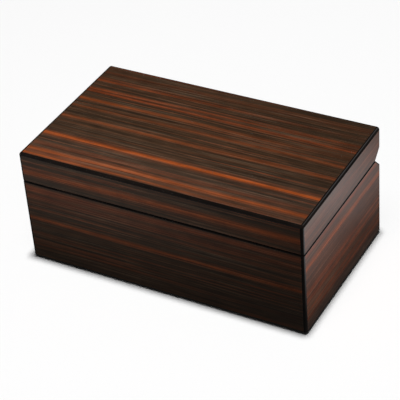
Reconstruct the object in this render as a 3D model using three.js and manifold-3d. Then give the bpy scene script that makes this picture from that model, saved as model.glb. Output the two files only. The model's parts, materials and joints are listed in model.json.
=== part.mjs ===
// Knife display case: a lidded wooden chest with a lift-out tray over a lower compartment.
// Millimetres. +X runs to the right end, +Y to the hinged rear and +Z up. The origin is on the
// surface that the case stands on, under the middle of the case.

import * as THREE from 'three';
import { mergeVertices } from 'three/addons/utils/BufferGeometryUtils.js';
import Module from 'manifold-3d';

const wasm = await Module();
wasm.setup();

// The closed case, and where it parts
const caseWidth = 305;
const caseDepth = 176;
const caseHeight = 127.5;
const lidHeight = 33;
const seamGap = 0.6;

// Boards
const wallThickness = 13.5;
const lidTopThickness = 10;
const floorThickness = 9;

// Rounded edges of the closed case
const edgeRadius = 3;
const footRadius = 2.5;
const lipRadius = 1.2;

// Rear bevels, measured from the seam in degrees: the open lid stops where they meet
const lidBevelAngle = 43;
const baseBevelAngle = 45;
const lidBevelCornerRadius = 12;
const baseBevelCornerRadius = 6;

// Veneer let into the outer faces, with the black border left along a bevel
const veneerThickness = 0.6;
const veneerJoint = 0.1;
const bevelBorder = 1.5;

// Felt under the floor
const feltThickness = 1;
const feltInset = 6;

// Hinges, placed from the end of the case to the middle of the hinge
const hingeInset = 62;
const hingeLength = 32;
const leafHeight = 14;
const leafThickness = 1.2;
const knuckleRadius = 2;
const knuckleCount = 5;
const knuckleGap = 0.3;
const pinRadius = 0.9;
const pinHeadRadius = 1.5;
const pinHeadLength = 0.6;

// Countersunk screws of the hinges
const screwSpacing = 20;
const screwFromAxis = 8.5;
const screwLength = 7;
const screwHeadRadius = 2;
const screwHeadHeight = 0.9;
const screwRadius = 1;
const screwTipLength = 1.5;
const driveWidth = 0.5;
const driveDepth = 0.4;

// Clearance around what turns, and around what is let into a board
const fit = 0.3;
const mortiseGap = 0.1;

// Liner boards and pad of the lower compartment
const linerThickness = 4;
const floorPadThickness = 3;
const floorPadGap = 0.5;

// Lift-out tray
const trayGap = 1.5;
const trayHeight = 30;
const trayBelowSeam = 2;
const trayWallThickness = 4;
const trayFloorThickness = 3;
const trayPadThickness = 2;
const dividerCount = 7;
const dividerWidth = 8;
const dividerHeight = 17;

// Ribbon pulls of the tray
const pullWidth = 14;
const pullLength = 19;
const pullThickness = 1.2;
const pullBelowRim = 1;
const pullCornerRadius = 4;

// Padded lining of the lid
const lidPadThickness = 6;
const lidPadGap = 1;
const padEdgeRadius = 3;
const padCornerRadius = 4;

// Cuts run this far past what they cut, and arcs stay this close to the true curve
const overrun = 2;
const arcError = 0.04;

const degree = Math.PI / 180;

// Places that follow from the sizes
const halfWidth = caseWidth / 2;
const halfDepth = caseDepth / 2;
const insideX = halfWidth - wallThickness;
const insideY = halfDepth - wallThickness;
const lidBottom = caseHeight - lidHeight;
const lidCeiling = caseHeight - lidTopThickness;
const baseTop = lidBottom - seamGap;
const floorTop = feltThickness + floorThickness;
const pivotY = insideY + knuckleRadius;
const pivotZ = (lidBottom + baseTop) / 2;
const bevelDepth = halfDepth - pivotY;
const trayBottom = baseTop - trayBelowSeam - trayHeight;
const linerTop = trayBottom - fit;

// Spans between two coordinates
const mirrored = (reach) => [-reach, reach];
const pastWidth = mirrored(halfWidth + overrun);
const pastDepth = mirrored(halfDepth + overrun);
const pastHeight = [-overrun, caseHeight + overrun];

// A closed geometry as a solid that can be joined and cut
function solidOf(geometry) {
  const bare = geometry.clone();
  bare.deleteAttribute('normal');
  bare.deleteAttribute('uv');
  const merged = mergeVertices(bare);
  const corners = merged.index.array;
  const triangles = [];
  for (let i = 0; i < corners.length; i += 3) {
    const [a, b, c] = corners.slice(i, i + 3);
    if (a !== b && b !== c && c !== a) triangles.push(a, b, c);
  }
  return new wasm.Manifold(new wasm.Mesh({
    numProp: 3,
    vertProperties: new Float32Array(merged.attributes.position.array),
    triVerts: new Uint32Array(triangles),
  }));
}

// The geometry of a solid
function geometryOf(solid) {
  const { vertProperties, triVerts } = solid.getMesh();
  const geometry = new THREE.BufferGeometry();
  geometry.setAttribute('position', new THREE.BufferAttribute(vertProperties, 3));
  geometry.setIndex(new THREE.BufferAttribute(triVerts, 1));
  geometry.computeVertexNormals();
  return geometry;
}

// How many straight steps follow an arc of a radius through an angle
function arcSteps(radius, angle) {
  const widestStep = 2 * Math.acos(1 - arcError / radius);
  return Math.max(1, Math.ceil(angle / widestStep));
}

// A closed outline from corners [u, v, radius], listed counter-clockwise
function outline(corners) {
  const points = [];
  corners.forEach(([u, v, radius = 0], i) => {
    const before = corners[(i + corners.length - 1) % corners.length];
    const after = corners[(i + 1) % corners.length];
    const arriving = new THREE.Vector2(u - before[0], v - before[1]).normalize();
    const leaving = new THREE.Vector2(after[0] - u, after[1] - v).normalize();
    const turn = Math.atan2(arriving.cross(leaving), arriving.dot(leaving));
    if (radius === 0) {
      points.push(new THREE.Vector2(u, v));
      return;
    }
    const reach = radius * Math.tan(turn / 2);
    const centreU = u - reach * arriving.x - radius * arriving.y;
    const centreV = v - reach * arriving.y + radius * arriving.x;
    const start = Math.atan2(-arriving.x, arriving.y);
    const steps = arcSteps(radius, turn);
    for (let step = 0; step <= steps; step += 1) {
      const angle = start + (turn * step) / steps;
      points.push(new THREE.Vector2(
        centreU + radius * Math.cos(angle),
        centreV + radius * Math.sin(angle),
      ));
    }
  });
  return new THREE.Shape(points);
}

// A round outline about the origin
function circle(radius) {
  const steps = arcSteps(radius, 2 * Math.PI);
  const points = [];
  for (let step = 0; step < steps; step += 1) {
    const angle = (2 * Math.PI * step) / steps;
    points.push(new THREE.Vector2(radius * Math.cos(angle), radius * Math.sin(angle)));
  }
  return new THREE.Shape(points);
}

// An outline pushed along an axis. Along X it is drawn in Y and Z, along Y in X and Z,
// and along Z in X and Y. Its end faces lie exactly on the two coordinates of the span.
function prism(shape, axis, [from, to]) {
  const geometry = new THREE.ExtrudeGeometry(shape, { depth: 1, bevelEnabled: false });
  const vertices = geometry.attributes.position;
  for (let i = 0; i < vertices.count; i += 1) {
    const u = vertices.getX(i);
    const v = vertices.getY(i);
    const far = vertices.getZ(i) > 0;
    if (axis === 'x') vertices.setXYZ(i, far ? to : from, u, v);
    if (axis === 'y') vertices.setXYZ(i, u, far ? from : to, v);
    if (axis === 'z') vertices.setXYZ(i, u, v, far ? to : from);
  }
  return solidOf(geometry);
}

// A block between two coordinates on each axis
function block([left, right], ySpan, [bottom, top]) {
  return prism(outline([[left, bottom], [right, bottom], [right, top], [left, top]]), 'y', ySpan);
}

// A round bar along the X axis
function barAlongX(radius, xSpan) {
  return prism(circle(radius), 'x', xSpan);
}

// A turned solid about the Y axis, from [radius, y] points that start and end on the axis
function turned(profile) {
  const points = profile.map(([radius, y]) => new THREE.Vector2(radius, y));
  const widest = Math.max(...profile.map(([radius]) => radius));
  return solidOf(new THREE.LatheGeometry(points, arcSteps(widest, 2 * Math.PI)));
}

// A solid moved from the origin to a place
function moved(solid, x, y, z) {
  return solidOf(geometryOf(solid).translate(x, y, z));
}

const joinAll = (solids) => solids.reduce((whole, next) => whole.add(next));
const cutAll = (solid, cuts) => cuts.reduce((rest, cut) => rest.subtract(cut), solid);

// Materials
function finish(name, color, roughness, metalness = 0) {
  const material = new THREE.MeshStandardMaterial({ color, roughness, metalness });
  material.name = name;
  return material;
}

const lacquer = () => finish('black_lacquer', 0x17120f, 0.3);
const veneer = () => finish('striped_veneer', 0x49301f, 0.35);
const suede = () => finish('suede_lining', 0xd9cbb0, 0.95);
const trayWood = () => finish('tray_wood', 0x2c1a12, 0.45);
const brass = () => finish('brass', 0xb8924a, 0.35, 1);
const felt = () => finish('felt', 0x15181a, 1);
const ribbon = () => finish('ribbon', 0x5c1f1d, 0.6);

function piece(name, solid, material) {
  const mesh = new THREE.Mesh(geometryOf(solid), material);
  mesh.name = name;
  return mesh;
}

// The outer form of each half is where three pushed outlines meet: plan, front view and side view
const planOutline = outline([
  [-halfWidth, -halfDepth, edgeRadius],
  [halfWidth, -halfDepth, edgeRadius],
  [halfWidth, halfDepth, edgeRadius],
  [-halfWidth, halfDepth, edgeRadius],
]);

function frontView(bottom, bottomRadius, top, topRadius) {
  return outline([
    [-halfWidth, bottom, bottomRadius],
    [halfWidth, bottom, bottomRadius],
    [halfWidth, top, topRadius],
    [-halfWidth, top, topRadius],
  ]);
}

const lidBevelRise = bevelDepth * Math.tan(lidBevelAngle * degree);
const baseBevelRise = bevelDepth * Math.tan(baseBevelAngle * degree);

const lidSideView = outline([
  [-halfDepth, lidBottom, lipRadius],
  [pivotY, lidBottom],
  [halfDepth, lidBottom + lidBevelRise, lidBevelCornerRadius],
  [halfDepth, caseHeight, edgeRadius],
  [-halfDepth, caseHeight, edgeRadius],
]);

const baseSideView = outline([
  [-halfDepth, feltThickness, footRadius],
  [halfDepth, feltThickness, footRadius],
  [halfDepth, baseTop - baseBevelRise, baseBevelCornerRadius],
  [pivotY, baseTop],
  [-halfDepth, baseTop, lipRadius],
]);

const plan = prism(planOutline, 'z', pastHeight);

const lidForm = plan
  .intersect(prism(frontView(lidBottom, lipRadius, caseHeight, edgeRadius), 'y', pastDepth))
  .intersect(prism(lidSideView, 'x', pastWidth));

const baseForm = plan
  .intersect(prism(frontView(feltThickness, footRadius, baseTop, lipRadius), 'y', pastDepth))
  .intersect(prism(baseSideView, 'x', pastWidth));

// Veneers lie between the rounded edges, with their outer faces flush
const veneerX = halfWidth - edgeRadius;
const veneerY = halfDepth - edgeRadius;
const lidVeneerZ = [lidBottom + lipRadius, caseHeight - edgeRadius];
const baseVeneerZ = [feltThickness + footRadius, baseTop - lipRadius];

// How far the rounding where a bevel meets the rear face runs up that face
const cornerReach = (radius, bevelAngle) => radius * Math.tan(((90 - bevelAngle) / 2) * degree);
const lidCornerReach = cornerReach(lidBevelCornerRadius, lidBevelAngle);
const baseCornerReach = cornerReach(baseBevelCornerRadius, baseBevelAngle);

// Where the border along a bevel crosses a height above the seam, and a depth past the pivot
function bevelBorderDepth(bevelAngle, height) {
  const slope = Math.tan(bevelAngle * degree);
  return (height - bevelBorder / Math.cos(bevelAngle * degree)) / slope;
}

function bevelBorderHeight(bevelAngle, depth) {
  return depth * Math.tan(bevelAngle * degree) + bevelBorder / Math.cos(bevelAngle * degree);
}

const lidSideVeneer = [
  [-veneerY, lidVeneerZ[0]],
  [pivotY + bevelBorderDepth(lidBevelAngle, lipRadius), lidVeneerZ[0]],
  [veneerY, lidBottom + bevelBorderHeight(lidBevelAngle, veneerY - pivotY)],
  [veneerY, lidVeneerZ[1]],
  [-veneerY, lidVeneerZ[1]],
];

const baseSideVeneer = [
  [-veneerY, baseVeneerZ[0]],
  [veneerY, baseVeneerZ[0]],
  [veneerY, baseTop - bevelBorderHeight(baseBevelAngle, veneerY - pivotY)],
  [pivotY + bevelBorderDepth(baseBevelAngle, lipRadius), baseVeneerZ[1]],
  [-veneerY, baseVeneerZ[1]],
];

// A corner of a pocket lies outside the veneer's corner, away from the middle of the face
function grown(corners) {
  const middleU = (Math.min(...corners.map(([u]) => u)) + Math.max(...corners.map(([u]) => u))) / 2;
  const middleV = (Math.min(...corners.map(([, v]) => v)) + Math.max(...corners.map(([, v]) => v))) / 2;
  return corners.map(([u, v]) => [
    u + Math.sign(u - middleU) * veneerJoint,
    v + Math.sign(v - middleV) * veneerJoint,
  ]);
}

const rectangle = ([left, right], [bottom, top]) => [
  [left, bottom], [right, bottom], [right, top], [left, top],
];

const lidRearVeneerZ = [lidBottom + lidBevelRise + lidCornerReach, lidVeneerZ[1]];
const baseRearVeneerZ = [baseVeneerZ[0], baseTop - baseBevelRise - baseCornerReach];

// Each sheet: its outline, the axis that it faces along, and the side of the case that it is on
const lidSheets = {
  lid_top_veneer: [rectangle(mirrored(veneerX), mirrored(veneerY)), 'z', 1],
  lid_front_veneer: [rectangle(mirrored(veneerX), lidVeneerZ), 'y', -1],
  lid_rear_veneer: [rectangle(mirrored(veneerX), lidRearVeneerZ), 'y', 1],
  lid_left_veneer: [lidSideVeneer, 'x', -1],
  lid_right_veneer: [lidSideVeneer, 'x', 1],
};

const baseSheets = {
  base_front_veneer: [rectangle(mirrored(veneerX), baseVeneerZ), 'y', -1],
  base_rear_veneer: [rectangle(mirrored(veneerX), baseRearVeneerZ), 'y', 1],
  base_left_veneer: [baseSideVeneer, 'x', -1],
  base_right_veneer: [baseSideVeneer, 'x', 1],
};

const outerFace = { x: halfWidth, y: halfDepth, z: caseHeight };

// The span from a face of the case inwards through the veneer, and outwards by an overhang
function throughVeneer(axis, side, overhang) {
  const ends = [side * (outerFace[axis] - veneerThickness), side * (outerFace[axis] + overhang)];
  return ends.sort((a, b) => a - b);
}

const sheetSolid = ([corners, axis, side]) => (
  prism(outline(corners), axis, throughVeneer(axis, side, 0))
);

const sheetPocket = ([corners, axis, side]) => (
  prism(outline(grown(corners)), axis, throughVeneer(axis, side, overrun))
);

// A hinge is drawn about its own axis: X runs along the pin, +Y to the rear, +Z up
const knuckleLength = (hingeLength - (knuckleCount - 1) * knuckleGap) / knuckleCount;
const knuckleStart = (index) => index * (knuckleLength + knuckleGap) - hingeLength / 2;
const knuckleSpan = (index, ends) => [
  knuckleStart(index) - ends,
  knuckleStart(index) + knuckleLength + ends,
];
const knuckleIndexes = [...Array(knuckleCount).keys()];
const baseKnuckles = knuckleIndexes.filter((index) => index % 2 === 0);
const lidKnuckles = knuckleIndexes.filter((index) => index % 2 === 1);
const pinBore = pinRadius + fit;
const hingeReach = hingeLength / 2 + overrun;
const leafFront = -knuckleRadius;
const screwPlaces = [-screwSpacing / 2, screwSpacing / 2];

const screwBody = turned([
  [0, 0],
  [screwHeadRadius, 0],
  [screwRadius, screwHeadHeight],
  [screwRadius, screwLength - screwTipLength],
  [0, screwLength],
]);
const driveSlot = block(
  mirrored(screwHeadRadius + overrun), [-overrun, driveDepth], mirrored(driveWidth / 2),
);
const screwSolid = screwBody.subtract(driveSlot);

// The hole for a screw clears its head and its shank all round
const screwHole = turned([
  [0, -overrun],
  [screwHeadRadius + fit, -overrun],
  [screwHeadRadius + fit, 0],
  [screwRadius + fit, screwHeadHeight],
  [screwRadius + fit, screwLength + fit],
  [0, screwLength + fit],
]);

// A leaf with its own knuckles, cleared where the other leaf's knuckles turn
function hingeLeaf(upward, ownKnuckles, otherKnuckles) {
  const plateZ = upward ? [0, leafHeight] : [-leafHeight, 0];
  const plate = block(
    mirrored(hingeLength / 2), [leafFront, leafFront + leafThickness], plateZ,
  );
  const clearances = otherKnuckles.map((index) => (
    barAlongX(knuckleRadius + fit, knuckleSpan(index, knuckleGap))
  ));
  const barrels = ownKnuckles.map((index) => barAlongX(knuckleRadius, knuckleSpan(index, 0)));
  const bore = barAlongX(pinBore, mirrored(hingeReach));
  const screwZ = upward ? screwFromAxis : -screwFromAxis;
  const holes = screwPlaces.map((x) => moved(screwHole, x, leafFront, screwZ));
  const cleared = cutAll(plate, clearances);
  return cutAll(joinAll([cleared, ...barrels]), [bore, ...holes]);
}

const baseLeaf = hingeLeaf(false, baseKnuckles, lidKnuckles);
const lidLeaf = hingeLeaf(true, lidKnuckles, baseKnuckles);
const pinEnd = hingeLength / 2 + knuckleGap;
const pinSolid = joinAll([
  barAlongX(pinRadius, mirrored(pinEnd)),
  barAlongX(pinHeadRadius, [pinEnd, pinEnd + pinHeadLength]),
  barAlongX(pinHeadRadius, [-pinEnd - pinHeadLength, -pinEnd]),
]);

// What a hinge needs cut away in the rear boards, about its own axis
const mortiseX = mirrored(hingeLength / 2 + fit);
const mortiseY = [leafFront - overrun, leafFront + leafThickness + mortiseGap];
const mortiseZ = mirrored(leafHeight + fit);
const barrelRelief = barAlongX(knuckleRadius + fit, mirrored(pinEnd + pinHeadLength + fit));
const pilotHoles = [screwFromAxis, -screwFromAxis].flatMap((z) => (
  screwPlaces.map((x) => moved(screwHole, x, leafFront, z))
));
const hingeCut = joinAll([block(mortiseX, mortiseY, mortiseZ), barrelRelief, ...pilotHoles]);

const hinges = { left: -(halfWidth - hingeInset), right: halfWidth - hingeInset };
const hingeCuts = Object.values(hinges).map((x) => moved(hingeCut, x, pivotY, pivotZ));

// Boards: a region of the outer form, less the pockets for the veneers and the hinges
const frontWallY = [-halfDepth - overrun, -insideY];
const rearWallY = [insideY, halfDepth + overrun];
const leftWallX = [-halfWidth - overrun, -insideX];
const rightWallX = [insideX, halfWidth + overrun];
const lidWallZ = [lidBottom - overrun, lidCeiling];
const baseWallZ = [-overrun, baseTop + overrun];

function boards(regions, form, cuts) {
  return Object.entries(regions).map(([name, spans]) => (
    piece(name, cutAll(form.intersect(block(...spans)), cuts), lacquer())
  ));
}

const sheets = (list) => Object.entries(list).map(([name, sheet]) => (
  piece(name, sheetSolid(sheet), veneer())
));

const lidBoards = boards({
  lid_top_board: [pastWidth, pastDepth, [lidCeiling, caseHeight + overrun]],
  lid_front_board: [pastWidth, frontWallY, lidWallZ],
  lid_rear_board: [pastWidth, rearWallY, lidWallZ],
  lid_left_board: [leftWallX, mirrored(insideY), lidWallZ],
  lid_right_board: [rightWallX, mirrored(insideY), lidWallZ],
}, lidForm, [...Object.values(lidSheets).map(sheetPocket), ...hingeCuts]);

const baseBoards = boards({
  base_front_board: [pastWidth, frontWallY, baseWallZ],
  base_rear_board: [pastWidth, rearWallY, baseWallZ],
  base_left_board: [leftWallX, mirrored(insideY), baseWallZ],
  base_right_board: [rightWallX, mirrored(insideY), baseWallZ],
  base_floor_board: [mirrored(insideX), mirrored(insideY), [feltThickness - overrun, floorTop]],
}, baseForm, [...Object.values(baseSheets).map(sheetPocket), ...hingeCuts]);

// A padded panel: flat on one side, with rounded corners and rounded edges on the other
function paddedPanel(reachX, reachY, [bottom, top], crownUp) {
  const bottomRadius = crownUp ? 0 : Math.min(padEdgeRadius, top - bottom);
  const topRadius = crownUp ? Math.min(padEdgeRadius, top - bottom) : 0;
  const section = (reach) => outline([
    [-reach, bottom, bottomRadius],
    [reach, bottom, bottomRadius],
    [reach, top, topRadius],
    [-reach, top, topRadius],
  ]);
  const corners = rectangle(mirrored(reachX), mirrored(reachY));
  const planform = outline(corners.map(([u, v]) => [u, v, padCornerRadius]));
  return prism(planform, 'z', [bottom - overrun, top + overrun])
    .intersect(prism(section(reachX), 'y', mirrored(reachY + overrun)))
    .intersect(prism(section(reachY), 'x', mirrored(reachX + overrun)));
}

const lidPad = piece(
  'lid_pad',
  paddedPanel(
    insideX - lidPadGap, insideY - lidPadGap, [lidCeiling - lidPadThickness, lidCeiling], false,
  ),
  suede(),
);

// Lower compartment
const linerZ = [floorTop, linerTop];
const linedX = insideX - linerThickness;
const linedY = insideY - linerThickness;

const liners = Object.entries({
  base_liner_front: [mirrored(insideX), [-insideY, -linedY]],
  base_liner_rear: [mirrored(insideX), [linedY, insideY]],
  base_liner_left: [[-insideX, -linedX], mirrored(linedY)],
  base_liner_right: [[linedX, insideX], mirrored(linedY)],
}).map(([name, [xSpan, ySpan]]) => piece(name, block(xSpan, ySpan, linerZ), suede()));

const floorPad = piece(
  'base_floor_pad',
  paddedPanel(
    linedX - floorPadGap, linedY - floorPadGap, [floorTop, floorTop + floorPadThickness], true,
  ),
  suede(),
);

const feltSheet = piece(
  'base_felt',
  block(mirrored(halfWidth - feltInset), mirrored(halfDepth - feltInset), [0, feltThickness]),
  felt(),
);

// Tray, drawn from its own underside up
const trayX = insideX - trayGap;
const trayY = insideY - trayGap;
const trayInsideX = trayX - trayWallThickness;
const trayInsideY = trayY - trayWallThickness;
const trayPadTop = trayFloorThickness + trayPadThickness;

const trayWalls = Object.entries({
  tray_front_wall: [mirrored(trayX), [-trayY, -trayInsideY]],
  tray_rear_wall: [mirrored(trayX), [trayInsideY, trayY]],
  tray_left_wall: [[-trayX, -trayInsideX], mirrored(trayInsideY)],
  tray_right_wall: [[trayInsideX, trayX], mirrored(trayInsideY)],
}).map(([name, [xSpan, ySpan]]) => piece(name, block(xSpan, ySpan, [0, trayHeight]), trayWood()));

const trayFloor = piece(
  'tray_floor',
  block(mirrored(trayInsideX), mirrored(trayInsideY), [0, trayFloorThickness]),
  trayWood(),
);

const trayPad = piece(
  'tray_floor_pad',
  block(mirrored(trayInsideX), mirrored(trayInsideY), [trayFloorThickness, trayPadTop]),
  suede(),
);

const slotWidth = (2 * trayInsideX - dividerCount * dividerWidth) / (dividerCount + 1);

const dividerSolid = prism(outline([
  [-dividerWidth / 2, 0],
  [dividerWidth / 2, 0],
  [dividerWidth / 2, dividerHeight, dividerWidth / 2],
  [-dividerWidth / 2, dividerHeight, dividerWidth / 2],
]), 'y', mirrored(trayInsideY - fit));

const dividers = [...Array(dividerCount).keys()].map((index) => {
  const divider = piece(`tray_divider_${index + 1}`, dividerSolid, suede());
  divider.position.x = (index + 1) * (slotWidth + dividerWidth) - dividerWidth / 2 - trayInsideX;
  divider.position.z = trayPadTop;
  return divider;
});

const pullTop = trayHeight - pullBelowRim;
const pullOutline = outline([
  [-pullWidth / 2, pullTop - pullLength, pullCornerRadius],
  [pullWidth / 2, pullTop - pullLength, pullCornerRadius],
  [pullWidth / 2, pullTop],
  [-pullWidth / 2, pullTop],
]);

const pulls = Object.entries({
  tray_pull_left: [-trayInsideX, pullThickness - trayInsideX],
  tray_pull_right: [trayInsideX - pullThickness, trayInsideX],
}).map(([name, xSpan]) => piece(name, prism(pullOutline, 'x', xSpan), ribbon()));

// One half of each hinge goes with the base, together with the pin, and the other with the lid
function hingeHalf(side, x, half, leaf, screwZ, loosePieces) {
  const group = new THREE.Group();
  group.position.set(x, pivotY, pivotZ);
  group.add(piece(`hinge_${side}_${half}_leaf`, leaf, brass()), ...loosePieces);
  screwPlaces.forEach((screwX, index) => {
    const screw = piece(`hinge_${side}_${half}_screw_${index + 1}`, screwSolid, brass());
    screw.position.set(screwX, leafFront, screwZ);
    group.add(screw);
  });
  return group;
}

const baseHinges = Object.entries(hinges).map(([side, x]) => (
  hingeHalf(side, x, 'base', baseLeaf, -screwFromAxis, [piece(`hinge_${side}_pin`, pinSolid, brass())])
));
const lidHinges = Object.entries(hinges).map(([side, x]) => (
  hingeHalf(side, x, 'lid', lidLeaf, screwFromAxis, [])
));

const base = new THREE.Group();
base.add(feltSheet, ...baseBoards, ...sheets(baseSheets), ...liners, floorPad, ...baseHinges);

const tray = new THREE.Group();
tray.position.z = trayBottom;
tray.add(trayFloor, ...trayWalls, trayPad, ...dividers, ...pulls);

// The lid turns about the hinge axis: its group's rotation about X is zero when it is shut
const lid = new THREE.Group();
lid.position.set(0, pivotY, pivotZ);
const lidPieces = new THREE.Group();
lidPieces.position.set(0, -pivotY, -pivotZ);
lidPieces.add(...lidBoards, ...sheets(lidSheets), lidPad, ...lidHinges);
lid.add(lidPieces);

const displayCase = new THREE.Group();
displayCase.name = 'knife_display_case';
displayCase.add(base, tray, lid);

export default displayCase;
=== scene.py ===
# %% [markdown]
# Knife display case
#
# The real object is a two-level wooden chest for folding knives. A lid on two brass hinges covers
# a lift-out tray with eight padded places, and under the tray is a deep lined compartment. Outside
# it is veneered with dark striped wood that stops short of every edge, and all of it is lacquered,
# so the rounded edges read as black frames round the panels.
#
# The construction is loaded first and stays fixed: every piece made here takes its size and place
# from it, so that nothing has to be fitted by eye.

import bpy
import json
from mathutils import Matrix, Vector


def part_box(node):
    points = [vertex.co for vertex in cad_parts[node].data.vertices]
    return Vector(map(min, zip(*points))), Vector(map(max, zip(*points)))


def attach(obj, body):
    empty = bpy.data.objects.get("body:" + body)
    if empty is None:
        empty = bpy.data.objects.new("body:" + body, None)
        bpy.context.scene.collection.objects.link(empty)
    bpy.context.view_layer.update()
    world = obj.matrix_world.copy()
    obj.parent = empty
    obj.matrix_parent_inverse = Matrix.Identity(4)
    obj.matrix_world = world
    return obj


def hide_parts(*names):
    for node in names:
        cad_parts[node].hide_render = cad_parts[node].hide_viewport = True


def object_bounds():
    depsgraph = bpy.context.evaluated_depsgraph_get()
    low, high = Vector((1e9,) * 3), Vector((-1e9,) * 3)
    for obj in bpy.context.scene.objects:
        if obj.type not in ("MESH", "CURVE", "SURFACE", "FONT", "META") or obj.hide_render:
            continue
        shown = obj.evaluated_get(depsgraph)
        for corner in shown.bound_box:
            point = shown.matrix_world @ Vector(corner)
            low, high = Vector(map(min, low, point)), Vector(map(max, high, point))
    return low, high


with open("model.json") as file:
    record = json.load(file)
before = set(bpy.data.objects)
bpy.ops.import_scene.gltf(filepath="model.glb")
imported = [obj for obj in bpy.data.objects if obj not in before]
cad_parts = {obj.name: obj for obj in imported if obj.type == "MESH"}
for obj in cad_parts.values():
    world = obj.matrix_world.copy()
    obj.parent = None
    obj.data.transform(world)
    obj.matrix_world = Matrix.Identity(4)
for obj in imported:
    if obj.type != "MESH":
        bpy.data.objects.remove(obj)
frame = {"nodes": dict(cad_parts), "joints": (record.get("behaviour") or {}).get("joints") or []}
cad_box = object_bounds()
print("case box in metres", [list(corner) for corner in cad_box])

# %% Tools of the workshop
import json
import math

import bmesh
import bpy
from mathutils import Matrix, Vector

MM = 0.001
scene = bpy.context.scene

# %% [markdown]
# Reading sizes from the construction
#
# The boards already say how wide the case is, where it parts and how thick its walls are. Reading
# those numbers from the boards' own boxes keeps the visible shell and the solid one in step. Only
# the finish sizes that no box can tell, such as a bevel's angle, are written down as values.


# %% Sizes of the case
def low(node):
    """The lowest corner of a construction piece."""
    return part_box(node)[0]


def high(node):
    """The highest corner of a construction piece."""
    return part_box(node)[1]


half_width = cad_box[1].x
half_depth = cad_box[1].y
case_top = cad_box[1].z
inside_x = high("base_floor_board").x
inside_y = high("base_floor_board").y
base_bottom = low("base_floor_board").z
floor_top = high("base_floor_board").z
base_top = high("base_front_board").z
lid_bottom = low("lid_front_board").z
lid_ceiling = high("lid_front_board").z
veneer_x = high("lid_top_veneer").x
veneer_y = high("lid_top_veneer").y
veneer_thickness = case_top - low("lid_top_veneer").z
edge_radius = half_width - veneer_x
lip_radius = low("lid_front_veneer").z - lid_bottom
foot_radius = low("base_front_veneer").z - base_bottom
hinge_joint = next(joint for joint in frame["joints"] if joint["name"] == "lid_hinge")
pivot = Vector(hinge_joint["pos_m"])
print(f"walls {(half_width - inside_x) / MM:.1f} mm, edges rounded {edge_radius / MM:.1f} mm")
print(f"seam {(lid_bottom - base_top) / MM:.1f} mm")
print(f"hinge axis at y {pivot.y / MM:.1f} mm, z {pivot.z / MM:.1f} mm")

# %% [markdown]
# The camera
#
# The photograph was taken from above the front right corner with a long lens, held at a slight
# tilt. A camera can be set by trial, but here its direction, roll, distance and focal length come
# from the straight edges of the case, so the same corners land on the same pixels. The distance
# and the small offset from the middle of the case are shares of the case's width.

# %% Place the camera
VIEW_AZIMUTH = math.radians(30.92)
VIEW_ELEVATION = math.radians(36.03)
VIEW_ROLL = math.radians(-4.73)
VIEW_DISTANCE_SHARE = 5.281
VIEW_ASIDE_SHARE = 0.0101
VIEW_ABOVE_SHARE = 0.0238
FOCAL_LENGTH_PIXELS = 1624.2
PICTURE_PIXELS = 400
SENSOR_WIDTH = 36


def camera_axes():
    """The camera's right, up and backward directions."""
    back = Vector((
        math.sin(VIEW_AZIMUTH) * math.cos(VIEW_ELEVATION),
        -math.cos(VIEW_AZIMUTH) * math.cos(VIEW_ELEVATION),
        math.sin(VIEW_ELEVATION),
    ))
    level_right = Vector((0, 0, 1)).cross(back).normalized()
    level_up = back.cross(level_right)
    right = math.cos(VIEW_ROLL) * level_right + math.sin(VIEW_ROLL) * level_up
    up = math.cos(VIEW_ROLL) * level_up - math.sin(VIEW_ROLL) * level_right
    return right, up, back


right, up, back = camera_axes()
width = 2 * half_width
middle = Vector((0, 0, case_top / 2))
eye = middle + width * (
    VIEW_DISTANCE_SHARE * back - VIEW_ASIDE_SHARE * right - VIEW_ABOVE_SHARE * up
)
camera = bpy.data.objects.new("camera", bpy.data.cameras.new("camera"))
camera.data.sensor_width = SENSOR_WIDTH
camera.data.lens = FOCAL_LENGTH_PIXELS / PICTURE_PIXELS * SENSOR_WIDTH
camera.matrix_world = Matrix.Translation(eye) @ Matrix((right, up, back)).transposed().to_4x4()
scene.collection.objects.link(camera)
scene.camera = camera
print(f"camera {(eye - middle).length:.3f} m from the case, lens {camera.data.lens:.1f} mm")

# %% [markdown]
# Maths on sockets
#
# A wood grain is a formula: stripes at set places, bent by a slow wander, broken by fine streaks.
# Node by node such a formula is hard to read. One small class wraps an output socket and lets
# Python's own signs add the Math nodes, and one method adds every other kind of node. Geometry
# trees use the same two, because their Math nodes are the same.


# %% A socket that can stand in a sum
class Signal:
    """An output socket. Python's signs on it add Math nodes to its tree."""

    def __init__(self, graph, socket):
        self.graph = graph
        self.socket = socket

    def maths(self, operation, *operands):
        return self.graph.maths(operation, *operands)

    def __add__(self, other):
        return self.maths("ADD", self, other)

    __radd__ = __add__

    def __sub__(self, other):
        return self.maths("SUBTRACT", self, other)

    def __rsub__(self, other):
        return self.maths("SUBTRACT", other, self)

    def __mul__(self, other):
        return self.maths("MULTIPLY", self, other)

    __rmul__ = __mul__

    def __truediv__(self, other):
        return self.maths("DIVIDE", self, other)

    def __pow__(self, other):
        return self.maths("POWER", self, other)

    def __neg__(self):
        return self.maths("MULTIPLY", self, -1)

    def __abs__(self):
        return self.maths("ABSOLUTE", self)

    def clamped(self):
        """Held between 0 and 1."""
        return self.maths("MINIMUM", self.maths("MAXIMUM", self, 0), 1)

    def rise(self, start, end):
        """0 at the start, 1 at the end, and smooth between them."""
        share = ((self - start) / (end - start)).clamped()
        return share * share * (3 - 2 * share)

    def bell(self, centre, width):
        """1 at the centre, falling away smoothly over the width on both sides."""
        reach = (self - centre) / width
        return self.maths("EXPONENT", -(reach * reach))


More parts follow.
